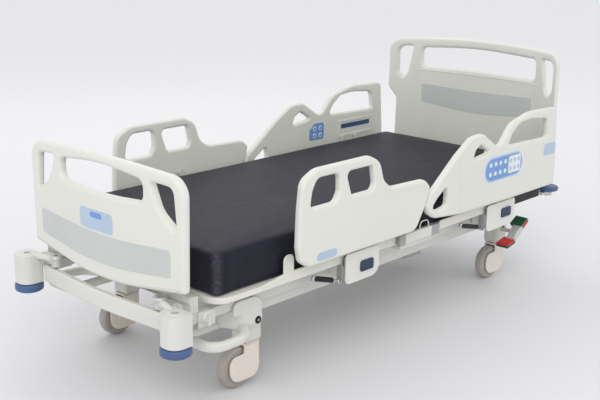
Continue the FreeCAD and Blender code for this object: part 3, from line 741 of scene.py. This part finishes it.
def makePatientPads():
    pad = [(458, 560, 14), (560, 560, 14), (560, 640, 14), (490, 640, 20), (458, 608, 20)]
    ringKeys = {"columns": 2, "rows": 2, "wide": 40, "high": 34, "radius": 13, "depth": 2.6,
                "finish": "key"}
    coreKeys = {"columns": 2, "rows": 2, "wide": 40, "high": 34, "radius": 8, "depth": 2.4,
                "finish": "panel"}
    box = oblong(668, 548, 930, 632, 8)
    well = oblong(680, 560, 918, 620, 6)
    strip = oblong(690, 590, 908, 612, 5)
    for side, sign in sides.items():
        rail = "head_rail_" + side
        plateOn(f"patient_pad_{side}", rail, sign, [pad], -1, 1.6, "panel", "handle_plastic")
        keysOn(f"patient_rings_{side}", rail, sign, (514, 598), ringKeys, -1, 2.6)
        keysOn(f"patient_cores_{side}", rail, sign, (514, 598), coreKeys, -1, 3.2)
        plateOn(f"rail_pocket_rim_{side}", rail, sign, [box, well], -1, 3.0, "shell",
                "shell_plastic", bevel=1.2)
        plateOn(f"rail_pocket_strip_{side}", rail, sign, [strip], -1, 1.6, "darkBlue",
                "handle_plastic")


def makeRailMarks():
    label = oblong(-595, 447, -491, 477, 14)
    crease = {"radius": 1.6}
    for side, sign in sides.items():
        plateOn(f"foot_label_{side}", "foot_rail_" + side, sign, [label], 1, 0.8, "label",
                "handle_plastic")
        y = sign * 515
        long = [(897, y, 636), (839, y, 593), (761, y, 553), (656, y, 520)]
        short = [(242, y, 660), (256, y, 555), (269, y, 450)]
        shapes = [tubeShape(smoothPath(path), crease["radius"], "shell", 10)
                  for path in (long, short)]
        finishPiece(f"head_rail_creases_{side}", mergeShapes(shapes), "shell",
                    "head_rail_" + side, (), "shell_plastic")
        end = [(-18, y, 480), (10, y, 530), (30, y, 584), (12, y, 608), (-60, y, 614),
               (-190, y, 618)]
        finishPiece(f"foot_rail_crease_{side}", tubeShape(smoothPath(end), crease["radius"],
                    "shell", 10), "shell", "foot_rail_" + side, (), "shell_plastic")


makeRails()
makeNursePanels()
makePatientPads()
makeRailMarks()
print("rails made")


# head and foot boards
def mirroredCorners(half):
    return half + [(-u, v, r) for u, v, r in reversed(half) if u > 0]


# how far along X the inner face lies at each distance from the middle line
def bendPlan(corners):
    line = roundedLoop([(y, x, r) for x, y, r in corners], closed=False, finest=8)

    def reach(y):
        y = abs(y)
        for a, b in zip(line, line[1:]):
            if y <= b.x:
                return a.y + (b.y - a.y) * (y - a.x) / max(b.x - a.x, 1e-9)
        a, b = line[-2:]
        return b.y + (b.y - a.y) * (y - b.x) / (b.x - a.x)
    return reach


# cuts a board into strips so that it can bend smoothly
def sliceAcross(shape, low, high, step):
    spot = low
    while spot <= high:
        bmesh.ops.bisect_plane(shape, geom=shape.verts[:] + shape.edges[:] + shape.faces[:],
                               dist=1e-6, plane_co=(spot / 1000, 0, 0), plane_no=(1, 0, 0))
        spot += step


def boardShape(loops, thick, bevel, reach, lift, outward, segments=5, step=24):
    shape = slabMesh(loops, thick, bevel, segments)
    reachY = max(abs(v.co.x) for v in shape.verts) * 1000
    sliceAcross(shape, -reachY + step / 2, reachY, step)

    def place(p):
        along = reach(p.x * 1000) / 1000 + outward * (lift / 1000 + p.z)
        return Vector((along, p.x, p.y))
    return moveShape(shape, place)


footReach = bendPlan([(-1080, 0, 0), (-1079, 110, 900), (-1066, 418, 0)])
headReach = bendPlan([(1118, 0, 0), (1116, 318, 120), (1070, 432, 160), (1035, 480, 0)])


# a bent board with its slot and grips, and the grey band let into it
def makeBoard(name, outline, slot, grip, band, reach, outward, step):
    settings = {"thick": 35, "bevel": 15, "bandProud": 1.5}
    grips = [[(sign * u, v, r) for u, v, r in grip] for sign in (-1, 1)]
    shape = boardShape([mirroredCorners(outline), mirroredCorners(slot)] + grips,
                       settings["thick"], settings["bevel"], reach, 0, outward, step=step)
    finishPiece(name + "_shell", shape, "shell", name, (name,), "shell_plastic", sharp=50)
    proud = settings["bandProud"]
    shape = boardShape([mirroredCorners(band)], settings["thick"] + 2 * proud, 2, reach, -proud,
                       outward, 2, step)
    finishPiece(name + "_band", shape, "inset", name, (name + "_insert",), "insert_laminate",
                sharp=50)
    return settings["thick"]


def makeFootboard():
    makeBoard("footboard", [(0, 376, 2600), (412, 432, 12), (418, 806, 70), (0, 826, 6000)],
              [(0, 684, 4000), (225, 700, 28), (225, 770, 28), (0, 794, 3000)],
              [(262, 773, 10), (366, 768, 26), (380, 630, 7), (300, 685, 80)],
              [(0, 434, 2500), (355, 476, 10), (355, 568, 10), (0, 541, 3500)],
              footReach, -1, 24)
    plate = oblong(-75, 556, 105, 626, 14)
    shape = boardShape([plate], 2.2, 0.6, footReach, 34, -1, 2)
    finishPiece("footboard_label", shape, "label", "footboard", (), "insert_laminate")
    mark = oblong(-18, 598, 48, 618, 12)
    shape = boardShape([mark], 1.4, 0.4, footReach, 35.4, -1, 2)
    finishPiece("footboard_label_bar", shape, "panel", "footboard", (), "insert_laminate")


def makeHeadboard():
    thick = makeBoard("headboard",
                      [(0, 405, 0), (446, 405, 20), (442, 712, 30), (476, 768, 30),
                       (475, 1014, 62), (0, 1041, 6000)],
                      [(0, 888, 6000), (322, 876, 24), (322, 972, 24), (0, 994, 4000)],
                      [(366, 978, 8), (438, 974, 34), (437, 845, 20), (410, 814, 10),
                       (390, 850, 40)],
                      [(0, 674, 3000), (315, 702, 10), (315, 794, 10), (0, 785, 6000)],
                      headReach, 1, 16)
    ridge = [(y, 864 - 7 * abs(y / 330) ** 4) for y in range(-345, 346, 15)]
    shapes = [tubeShape([(headReach(y) + lift, y, up) for y, up in ridge], 2.2, "shell", 10)
              for lift in (0, thick)]
    finishPiece("headboard_steps", mergeShapes(shapes), "shell", "headboard", (),
                "shell_plastic")


makeFootboard()
makeHeadboard()
print("boards made")


# mattress: one cover over three sections
def makeMattress():
    settings = {"low": (-994, -444, 404), "high": (994, 444, 547), "corner": 20, "voxel": 0.011,
                "topEdge": 12, "lowEdge": 7, "pressure": 4.0, "frames": 20, "cap": 0.007,
                "wrinkle": 0.0022, "sag": 0.0016, "endReach": 1.0, "endFade": 0.16,
                "sideReach": 0.45, "sideFade": 0.12, "skinX": 0.975, "skinY": 0.425}
    low, high = settings["low"], settings["high"]
    shape = plainBox(low, high)
    posts = [e for e in shape.edges if abs(e.verts[0].co.z - e.verts[1].co.z) > 0.01]
    bmesh.ops.bevel(shape, geom=posts, offset=settings["corner"] / 1000, segments=6,
                    profile=0.5, affect="EDGES")
    for level, key in ((high[2], "topEdge"), (low[2], "lowEdge")):
        rim = [e for e in shape.edges if all(abs(v.co.z - level / 1000) < 1e-5 for v in e.verts)]
        bmesh.ops.bevel(shape, geom=rim, offset=settings[key] / 1000, segments=4, profile=0.5,
                        affect="EDGES")
    mesh = bpy.data.meshes.new("mattressBlock")
    shape.to_mesh(mesh)
    shape.free()
    block = addObject("mattressBlock", mesh)
    grid = block.modifiers.new("grid", "REMESH")
    grid.mode = "VOXEL"
    grid.voxel_size = settings["voxel"]
    even = bakedMesh(block)
    block.modifiers.remove(grid)
    block.data = even
    bpy.data.meshes.remove(mesh)
    before = [v.co.copy() for v in even.vertices]
    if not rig.quick():
        swell = block.modifiers.new("swell", "CLOTH")
        cloth = swell.settings
        cloth.quality = 6
        cloth.mass = 0.25
        cloth.tension_stiffness = 30
        cloth.compression_stiffness = 12
        cloth.bending_stiffness = 0.6
        cloth.use_pressure = True
        cloth.uniform_pressure_force = settings["pressure"]
        cloth.effector_weights.gravity = 0
        swell.collision_settings.use_collision = False
        swell.point_cache.frame_start = 1
        swell.point_cache.frame_end = settings["frames"]
        for step in range(1, settings["frames"] + 1):
            scene.frame_set(step)
        puffed = bakedMesh(block)
        block.modifiers.remove(swell)
        scene.frame_set(1)
        block.data = puffed
        bpy.data.meshes.remove(even)
    mesh = block.data
    for v, old in zip(mesh.vertices, before):
        shift = v.co - old
        if shift.length > settings["cap"]:
            shift *= settings["cap"] / shift.length
        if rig.quick():
            shift = Vector((0, 0, 0))
        spot = old + shift
        edgeX = max(0.0, 1 - (settings["endReach"] - abs(spot.x)) / settings["endFade"])
        edgeY = max(0.0, 1 - (settings["sideReach"] - abs(spot.y)) / settings["sideFade"])
        corner = edgeX * edgeY
        side = int(abs(spot.y) > settings["skinY"] or abs(spot.x) > settings["skinX"])
        ripple = noise.noise(Vector((spot.x * 34, spot.y * 34, spot.z * 9)))
        sag = noise.noise(Vector((spot.x * 5, spot.y * 5, spot.z * 5 + 3)))
        out = Vector((spot.x * edgeX, spot.y * edgeY * 2.2, 0))
        if out.length > 1e-6:
            out.normalize()
        spot += out * ripple * settings["wrinkle"] * (3.0 * corner + 0.5 * side)
        spot.z += sag * settings["sag"]
        v.co = spot
    finer = block.modifiers.new("finer", "SUBSURF")
    finer.levels = 1
    finer.render_levels = 1
    smooth = bakedMesh(block)
    block.modifiers.remove(finer)
    bpy.data.objects.remove(block)
    bpy.data.meshes.remove(mesh)
    parts = {
        "mattress_head": {"low": 0.08, "high": None, "nodes": ("mattress_back",),
                          "bodies": ("upper_frame", "backrest"),
                          "span": ((0.10, 0, 0.47), (0.44, 0, 0.47))},
        "mattress_middle": {"low": -0.19, "high": 0.08,
                            "nodes": ("mattress_seat", "mattress_thigh"),
                            "bodies": ("thigh", "upper_frame"),
                            "span": ((-0.12, 0, 0.47), (0.06, 0, 0.47))},
        "mattress_foot": {"low": None, "high": -0.19, "nodes": ("mattress_leg",),
                          "bodies": ("leg", "thigh"),
                          "span": ((-0.44, 0, 0.47), (-0.26, 0, 0.47))}}
    for name, part in parts.items():
        shape = bmesh.new()
        shape.from_mesh(smooth)
        for limit, facing in ((part["low"], -1), (part["high"], 1)):
            if limit is None:
                continue
            found = bmesh.ops.bisect_plane(
                shape, geom=shape.verts[:] + shape.edges[:] + shape.faces[:], dist=1e-6,
                plane_co=(limit, 0, 0), plane_no=(facing, 0, 0), clear_outer=True)
            edges = [e for e in found["geom_cut"] if isinstance(e, bmesh.types.BMEdge)]
            bmesh.ops.edgenet_fill(shape, edges=edges)
        piece = finishPiece(name, shape, "cover", None, part["nodes"], "mattress_cover", sharp=60,
                            weighted=False)
        a, b = part["bodies"]
        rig.blend(piece, a, b, *part["span"])
        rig.padded(piece, fill=0.9)
    bpy.data.meshes.remove(smooth)


makeMattress()
print("mattress made")


# bumpers, posts and corner arms
def makeBumpers():
    foot = {"x": -1138, "y": 414, "low": 245, "high": 279}
    head = {"x": 1138, "y": 420, "low": 365, "high": 390}
    for end, spot in (("foot", foot), ("head", head)):
        thick = spot["high"] - spot["low"]
        soft = min(9, thick * 0.34)
        profile = [(0, 2), (9, 2), (9, 0), (30, 0), (34, 1.5), (44, 1.5), (50, soft * 0.6),
                   (52, soft), (52, thick - soft), (50, thick - soft * 0.6),
                   (46, thick - 2), (38, thick - 0.5), (30, thick), (10, thick),
                   (10, thick - 2), (0, thick - 2)]
        for side, sign in sides.items():
            shape = latheAt(profile, 64, (0, 0, 1),
                            (spot["x"], sign * spot["y"], spot["low"]))
            name = f"bumper_{end}_{side}"
            finishPiece(name, shape, "bumper", name, (f"bumper_roller_{end}_{side}",),
                        "bumper_plastic")


def makePosts():
    cap = {"radius": 30, "low": 388, "hole": 13}
    softenNode("corner_posts", "casting", 5, 3, "casting_coat")
    softenNode("board_sockets", "lift", 1.5, 2, "frame_coat")
    softenNode("foot_end_beam", "casting", 7, 4, "frame_coat")
    shapes = []
    arms = []
    for sign in (-1, 1):
        ring = [(cap["hole"], 0), (cap["radius"], 0), (cap["radius"], 1.5), (cap["radius"] - 2, 3),
                (cap["hole"] + 2, 3), (cap["hole"], 1.5), (cap["hole"], 0)]
        shapes.append(latheAt(ring, 40, (0, 0, 1), (-1138, sign * 414, cap["low"] - 0.4),
                              closed=True))
        path = smoothPath([(-1128, sign * 392, 378), (-1119, sign * 356, 384),
                           (-1106, sign * 318, 382), (-1099, sign * 294, 372)])
        arms.append(tubeShape(path, 12, "casting", 20))
    finishPiece("post_caps", mergeShapes(shapes), "casting", "upper_frame", (), "frame_coat")
    finishPiece("post_arms", mergeShapes(arms), "casting", "upper_frame", (), "casting_coat")
    knobs = []
    for x, y, high in ((-1097, 290, 398), (1132, 290, 398)):
        for sign in (-1, 1):
            top = [(14.5, 0), (23, 0), (25, 3), (25, 9), (22, 13), (16.5, 14), (14.5, 12),
                   (14.5, 0)]
            knobs.append(latheAt(top, 40, (0, 0, 1), (x, sign * y, high - 14), closed=True))
    finishPiece("socket_collars", mergeShapes(knobs), "lift", "upper_frame", (), "frame_coat")


makeBumpers()
makePosts()
print("corners made")


# base, columns, guard loops
def makeBase():
    softenNode("base_frame", "casting", 4, 3, "frame_coat")
    for part in ("outer", "middle", "inner"):
        softenNode(f"column_{part}_tubes", "lift", 2, 2, "lift_tube")
    castings = {"size": (40, 38), "low": 161, "high": 312, "bevel": 13}
    shapes = []
    rings = []
    bolts = []
    for x in (-754, 842):
        for sign in (-1, 1):
            a, b = castings["size"]
            shapes.append(roundBox((x - a, sign * 335 - b, castings["low"]),
                                   (x + a, sign * 335 + b, castings["high"]),
                                   castings["bevel"], 5))
            rim = [(0, -2), (13, -2), (14, 0), (13.2, 2.2), (9, 2.6), (8, 1), (0, 1)]
            spot = (-772, sign * 410, 258) if x < 0 else (x, sign * 373, 229)
            rings.append(latheAt(rim, 36, (0, sign, 0), spot))
            bolt = [(0, 0), (5.5, 0), (5.5, 3), (5, 3.6), (0, 3.6)]
            bolts.append(latheAt(bolt, 6, (0, sign, 0), spot))
    hood = {"low": 238, "high": 315, "cheekLow": 296, "cheekHigh": 347, "face": 410}
    plan = [(-716, 298, 6), (-716, 374, 24), (-752, hood["face"], 34),
            (-858, hood["face"], 60), (-886, 340, 50), (-886, 298, 20)]
    cheek = [(-752, hood["cheekLow"], 4), (-752, 326, 30), (-782, hood["cheekHigh"], 30),
             (-884, hood["cheekHigh"], 36), (-884, hood["cheekLow"], 4)]
    for sign in (-1, 1):
        loop = [(x, sign * y, r) for x, y, r in plan]
        shapes.append(moveShape(slabMesh([loop], hood["high"] - hood["low"], 16, 5),
                                flat(hood["low"])))
    shapes += platePair(cheek, 9, 3, 4, hood["face"] - 9)
    finishPiece("corner_castings", mergeShapes(shapes), "casting", "base",
                ("base_corner_columns",), "casting_coat")
    finishPiece("casting_rings", mergeShapes(rings), "black", "base", (), "casting_coat")
    finishPiece("casting_bolts", mergeShapes(bolts), "steel", "base", (), "brake_steel")


def makeLoops():
    settings = {"low": 228, "thick": 34, "bevel": 13}
    ring = [(-1045, 300, 62), (-793, 300, 24), (-793, 382, 30), (-852, 456, 60),
            (-905, 482, 60), (-1045, 482, 75)]
    hole = [(-1015, 328, 34), (-850, 328, 20), (-850, 380, 40), (-880, 438, 50),
            (-930, 454, 40), (-1015, 454, 48)]
    shapes = []
    for sign in (-1, 1):
        loops = [[(x, sign * y, r) for x, y, r in loop] for loop in (ring, hole)]
        shape = slabMesh(loops, settings["thick"], settings["bevel"], 5)
        shapes.append(moveShape(shape, flat(settings["low"])))
    finishPiece("guard_loops", mergeShapes(shapes), "casting", "base", ("base_corner_loops",),
                "casting_coat")


makeBase()
makeLoops()
print("base made")


# casters, wheels, brake
def makeCasters():
    settings = {"trail": 56, "radius": 75, "cheekOut": 0.023}
    cheek = [(-38, 158, 3), (33, 158, 6), (33, 26, 40), (-105, 26, 49), (-105, 124, 49),
             (-38, 124, 6)]
    for end in ends:
        for side, sign in sides.items():
            x, y = (-754 if end == "foot" else 842), sign * 335
            shapes = []
            for face in (-1, 1):
                shape = slabMesh([cheek], 7, 2.6, 4)

                def place(p, face=face, x=x, y=y):
                    out = face * (settings["cheekOut"] + p.z)
                    return Vector((x / 1000 + p.x, y / 1000 + out, p.y))
                shapes.append(moveShape(shape, place))
                cap = [(0, -1), (13, -1), (13, 1), (11, 2.2), (6, 2.6), (0, 2.6)]
                shapes.append(latheAt(cap, 32, (0, face, 0), (
                    x - settings["trail"], y + face * 30, settings["radius"])))
            shapes.append(roundBox((x - 40, y - 30, 151), (x + 35, y + 30, 160), 3, 3))
            shapes.append(roundBox((x + 22, y - 26, 60), (x + 34, y + 26, 156), 4, 3))
            name = f"caster_{end}_{side}"
            finishPiece(name + "_fork", mergeShapes(shapes), "caster", name,
                        (f"caster_fork_{end}_{side}",), "caster_shell")
            axle = (x - settings["trail"], y, settings["radius"])
            face = [(44, 15), (44, 18.4), (49, 19.4), (52, 19.4), (53, 18), (56, 18), (57, 19.6),
                    (60, 19.6), (61, 18), (64, 18), (65, 19.4), (67, 19.4), (68.5, 18.2),
                    (70.5, 17.6), (73, 14), (74.6, 8)]
            tread = ([(r, -w) for r, w in face] + [(75, 0)] + [(r, w) for r, w in
                     reversed(face)] + [(44, -15)])
            tyre = latheAt(tread, 72, (0, 1, 0), axle, closed=True)
            hub = [(0, -19), (20, -19), (22, -17.5), (34, -17.5), (36, -19), (40, -19),
                   (44.5, -16), (44.5, 16), (40, 19), (36, 19), (34, 17.5), (22, 17.5),
                   (20, 19), (0, 19)]
            disc = latheAt(hub, 64, (0, 1, 0), axle)
            wheel = f"wheel_{end}_{side}"
            finishPiece(wheel + "_tyre", tyre, "tyre", wheel, (f"caster_wheel_{end}_{side}",),
                        "tyre")
            finishPiece(wheel + "_hub", disc, "caster", wheel, (), "caster_shell")


def makeBrake():
    at = (832, 229)
    softenNode("brake_shaft_and_rockers", "lift", 2, 2, "brake_steel")
    layers = {
        "red_top": ("red", [(-93, -44, 3), (-23, -30, 3), (-22, -22, 3), (-92, -36, 3)]),
        "red_base": ("green", [(-90, -56, 5), (-24, -42, 5), (-23, -29, 2), (-93, -43, 2)]),
        "green_top": ("green", [(14, 30, 3), (20, 22, 3), (72, 50, 3), (66, 58, 3)]),
        "green_base": ("red", [(19, 23, 2), (34, 10, 6), (80, 36, 6), (72, 51, 2)])}
    for name, (colour, corners) in layers.items():
        loop = [(x + at[0], z + at[1], r) for x, z, r in corners]
        replaced = ("brake_pads",) if name == "red_top" else ()
        finishPiece("brake_pads_" + name, mergeShapes(platePair(loop, 60, 2.5, 3, 404)), colour,
                    "brake", replaced, "pedal_plastic")


makeCasters()
makeBrake()
print("running gear made")


# frame, brackets, deck
def makeBrackets():
    starts = {"foot": -397, "head": 530}
    for end, low in starts.items():
        body = bodyOf(end + "_rail_brackets")
        softenNode(end + "_rail_brackets", "shell", 1.2, 2, "shell_plastic")
        shapes = barPair((low - 3, low + 3), (438, 464.5), (306, 400), 1.5)
        strip = [(low - 4, 316, 3), (low + 3, 306, 2), (low + 3, 410, 2), (low - 4, 408, 3)]
        shapes += platePair(strip, 3, 1, 2, 474.6)
        finishPiece(end + "_bracket_cheeks", mergeShapes(shapes), "grey", body, (),
                    "shell_plastic")
    for end, centre, base in (("foot", -279, 333), ("head", 678, 343)):
        for side, sign in sides.items():
            paddle = [(centre - 37, base, 8), (centre + 37, base, 8),
                      (centre + 37, base + 42, 10), (centre - 37, base + 42, 10)]
            lip = oblong(centre - 30, base + 4, centre + 30, base + 13, 4)
            shapes = [moveShape(slabMesh([paddle], 5.5, 2, 4), upright(sign, 478.3)),
                      moveShape(slabMesh([lip], 2.8, 1.2, 3), upright(sign, 482))]
            name = f"{end}_handle_{side}"
            finishPiece(name + "_paddle", mergeShapes(shapes), "handle", name,
                        (f"{end}_release_handle_{side}",), "handle_plastic")


def makeStruts():
    spots = {"foot": ((-541, 358), (-440, 326), (-404, 315)),
             "head": ((372, 358), (500, 326), (556, 312))}
    for end, (start, middle, tip) in spots.items():
        barrels, rods = [], []
        for sign in (-1, 1):
            a, b, c = [Vector((x, sign * 452, z)) for x, z in (start, middle, tip)]
            run = (b - a).length
            profile = [(0, 0), (7, 0), (10, 2.5), (10, run - 3), (8.5, run), (0, run)]
            barrels.append(latheAt(profile, 32, b - a, a))
            reach = (c - b).length
            profile = [(0, -1), (4, -1), (4, reach), (0, reach)]
            rods.append(latheAt(profile, 24, c - b, b))
            eye = [(0, -6), (9, -6), (10, -5), (10, 5), (9, 6), (0, 6)]
            rods.append(latheAt(eye, 28, (0, 1, 0), c))
            rods.append(latheAt(eye, 28, (0, 1, 0), a))
        body = bodyOf(end + "_rail_struts")
        finishPiece(end + "_strut_barrels", mergeShapes(barrels), "black", body,
                    (end + "_rail_struts",), "strut_black")
        finishPiece(end + "_strut_rods", mergeShapes(rods), "chrome", body, (), "brake_steel")


def makeDeck():
    for part in ("backrest", "seat", "thigh"):
        softenNode(part + "_panel", "deck", 2, 2, "deck_plastic")
    plate = [(-1000, -458, 60), (-360, -458, 4), (-360, 458, 4), (-1000, 458, 60)]
    shapes = [moveShape(slabMesh([plate], 22, 5, 4), flat(378))]
    tab = [(-697, 392, 3), (-648, 392, 3), (-648, 478, 20), (-697, 478, 22)]
    shapes += platePair(tab, 7, 2.4, 3, 452)
    shapes.append(latheAt([(0, 0), (4, 0), (4, 916), (0, 916)], 20, (0, 1, 0),
                          (-350, -458, 390)))  # hinge pin
    finishPiece("leg_deck", mergeShapes(shapes), "deck", "leg", ("leg_panel",), "deck_plastic")
    lips = {
        "leg": [(-938, 380, 2), (-938, 399, 2), (-806, 400, 120), (-682, 417, 60),
                (-366, 417, 6), (-366, 380, 2)],
        "thigh": [(-339, 380, 2), (-339, 416, 6), (-46, 416, 6), (-46, 380, 2)],
        "backrest": [(206, 380, 2), (206, 416, 6), (990, 416, 6), (990, 380, 2)]}
    for body, outline in lips.items():
        finishPiece(body + "_lip", mergeShapes(platePair(outline, 8, 2.4, 3, 452.5)), "deck",
                    body, (), "deck_plastic")
    blackBars = barPair((752, 985), (457, 464), (374, 418), 2)  # black bars along the deck by the headboard, under the head rails
    finishPiece("deck_edge_guards", mergeShapes(blackBars), "black", "backrest", (),
                "deck_plastic")


def makeSideTrim():
    cover = [(-80, 376, 6), (174, 376, 6), (174, 417, 8), (-80, 417, 8)]
    shapes = platePair(cover, 15, 4, 4, 465.5) + barPair((-60, 150), (400, 466), (354, 372), 2)
    caps, wires = [], []
    for low, high in ((-83, -44), (122, 177)):
        end = [(low, 375, 8), (high, 375, 4), (high, 418, 4), (low, 418, 8)]
        caps += platePair(end, 17, 4, 4, 464.5)
    bend = [(57, 412), (58, 432), (68, 443), (85, 445), (102, 443), (112, 432), (113, 412)]
    for sign in (-1, 1):
        path = smoothPath([(x, sign * 470, z) for x, z in bend], 5)
        wires.append(tubeShape(path, 2.6, "casting", 12))
    finishPiece("side_covers", mergeShapes(shapes), "casting", "upper_frame", ("side_trim",),
                "shell_plastic")
    finishPiece("side_cover_caps", mergeShapes(caps), "grey", "upper_frame", (),
                "shell_plastic")
    finishPiece("side_wire_loops", mergeShapes(wires), "casting", "upper_frame", (),
                "frame_coat")


def makeHooks():
    bend = [(-1020, 322), (-1020, 352), (-1024, 362), (-1034, 364), (-1042, 356), (-1043, 344)]
    shapes = [tubeShape(smoothPath([(x, sign * 440, z) for x, z in bend], 5), 4, "casting", 12)
              for sign in (-1, 1)]
    plates = (barPair((-1034, -960), (398, 404), (300, 352), 2)
              + barPair((-1026, -1014), (400, 444), (318, 326), 2))
    finishPiece("corner_hooks", mergeShapes(shapes), "casting", "upper_frame", (), "frame_coat")
    finishPiece("corner_plates", mergeShapes(plates), "casting", "upper_frame", (),
                "frame_coat")


softenNode("upper_frame", "coat", 3, 3, "frame_coat", second="black",
           secondTest=lambda face: face.center.x > 0.775 and face.center.z > 0.3515)
for node in sorted(frame["nodes"]):
    if "_arm_" in node:
        softenNode(node, "coat", 0.8, 2, "frame_coat")
softenNode("actuator_housings", "drive", 3, 3, "drive_plastic")
for node in ("back_actuator_rod", "knee_actuator_rod"):
    softenNode(node, "chrome", 0.8, 2, "brake_steel")
makeBrackets()
makeStruts()
makeDeck()
makeSideTrim()
makeHooks()
print("frame and deck made")

for node in sorted(shownNodes):
    shown = frame["nodes"][node]
    print("still the frame's own mesh:", node)
    shown.data.materials.clear()
    shown.data.materials.append(finishes["coat"])


# studio
def makeStudio():
    # painted shade: the floor is darker near the bed and paler far off
    floorSettings = {"reach": 45.0, "far": (0.835, 0.835, 0.85), "near": (0.755, 0.755, 0.77),
                     "nearTo": 1.2, "farFrom": 5.0}
    shape = bmesh.new()
    bmesh.ops.create_circle(shape, cap_ends=True, segments=96, radius=floorSettings["reach"])
    finishes["floor"], tree, shader, spot = makeFinish("studioFloor", {
        "colour": floorSettings["near"], "rough": 0.62, "grain": 0.02, "cloudScale": 0.4})[:4]
    away = addNode(tree, "ShaderNodeVectorMath", {0: spot})
    away.operation = "LENGTH"
    spread = addNode(tree, "ShaderNodeMapRange", {
        "From Min": floorSettings["nearTo"], "From Max": floorSettings["farFrom"],
        "Value": away.outputs["Value"]})
    tree.links.new(blendNode(tree, floorSettings["near"], floorSettings["far"],
                             spread.outputs["Result"]), shader["Base Color"])
    mesh = bpy.data.meshes.new("studio_floor")
    shape.to_mesh(mesh)
    shape.free()
    floor = addObject("studio_floor", mesh)
    mesh.materials.append(finishes["floor"])
    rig.stage(floor)
    world = bpy.data.worlds.new("studioAir")
    world.use_nodes = True
    air = world.node_tree
    aim = addNode(air, "ShaderNodeTexCoord")  # low down the air is as grey as the far floor
    height = addNode(air, "ShaderNodeSeparateXYZ", {"Vector": aim.outputs["Generated"]})
    rise = addNode(air, "ShaderNodeMapRange", {"From Max": 0.22, "Value": height.outputs["Z"]})
    air.links.new(blendNode(air, (0.84, 0.84, 0.855), (0.985, 0.985, 1.0),
                            rise.outputs["Result"]), air.nodes["Background"].inputs["Color"])
    air.nodes["Background"].inputs["Strength"].default_value = 0.95
    scene.world = world
    lamps = {
        "key": {"at": (-6.0, -4.0, 5.8), "aim": (0.3, 0, 0.4), "size": 6.0, "power": 180},
        "fill": {"at": (2.8, -4.2, 3.4), "aim": (0.2, 0, 0.4), "size": 3.2, "power": 12},
        "back": {"at": (1.6, 3.4, 4.4), "aim": (0.3, 0, 0.5), "size": 3.0, "power": 30}}
    for name, lamp in lamps.items():
        light = bpy.data.lights.new(name, "AREA")
        light.shape = "DISK"
        light.size = lamp["size"]
        light.energy = lamp["power"]
        holder = addObject(name, light)
        holder.location = lamp["at"]
        aim = Vector(lamp["aim"]) - Vector(lamp["at"])
        holder.rotation_euler = aim.to_track_quat("-Z", "Y").to_euler()
        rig.stage(holder)


def makeCamera():
    settings = {"at": (-2.9862, -2.6388, 1.5422), "yaw": 42.6986, "down": 15.3305,
                "roll": 0.8415, "lens": 59.459}
    yaw, down = math.radians(settings["yaw"]), math.radians(settings["down"])
    roll = math.radians(settings["roll"])
    look = Vector((math.cos(yaw) * math.cos(down), math.sin(yaw) * math.cos(down),
                   -math.sin(down)))
    right = Vector((math.sin(yaw), -math.cos(yaw), 0))
    up = right.cross(look)
    x = math.cos(roll) * right + math.sin(roll) * up
    y = -math.sin(roll) * right + math.cos(roll) * up
    data = bpy.data.cameras.new("front")
    data.sensor_width = 36
    data.sensor_fit = "HORIZONTAL"
    data.lens = settings["lens"]
    camera = addObject("front", data)
    camera.matrix_world = Matrix.Translation(Vector(settings["at"])) @ Matrix(
        (x, y, -look)).transposed().to_4x4()
    scene.camera = camera


makeStudio()
makeCamera()
scene.view_settings.view_transform = "Standard"
print("studio made")

bpy.context.view_layer.update()
low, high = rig.bounds()
with open("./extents.json", "w") as out:
    json.dump({"cad_low": list(cadLow), "cad_high": list(cadHigh), "visual_low": list(low),
               "visual_high": list(high)}, out, indent=1)
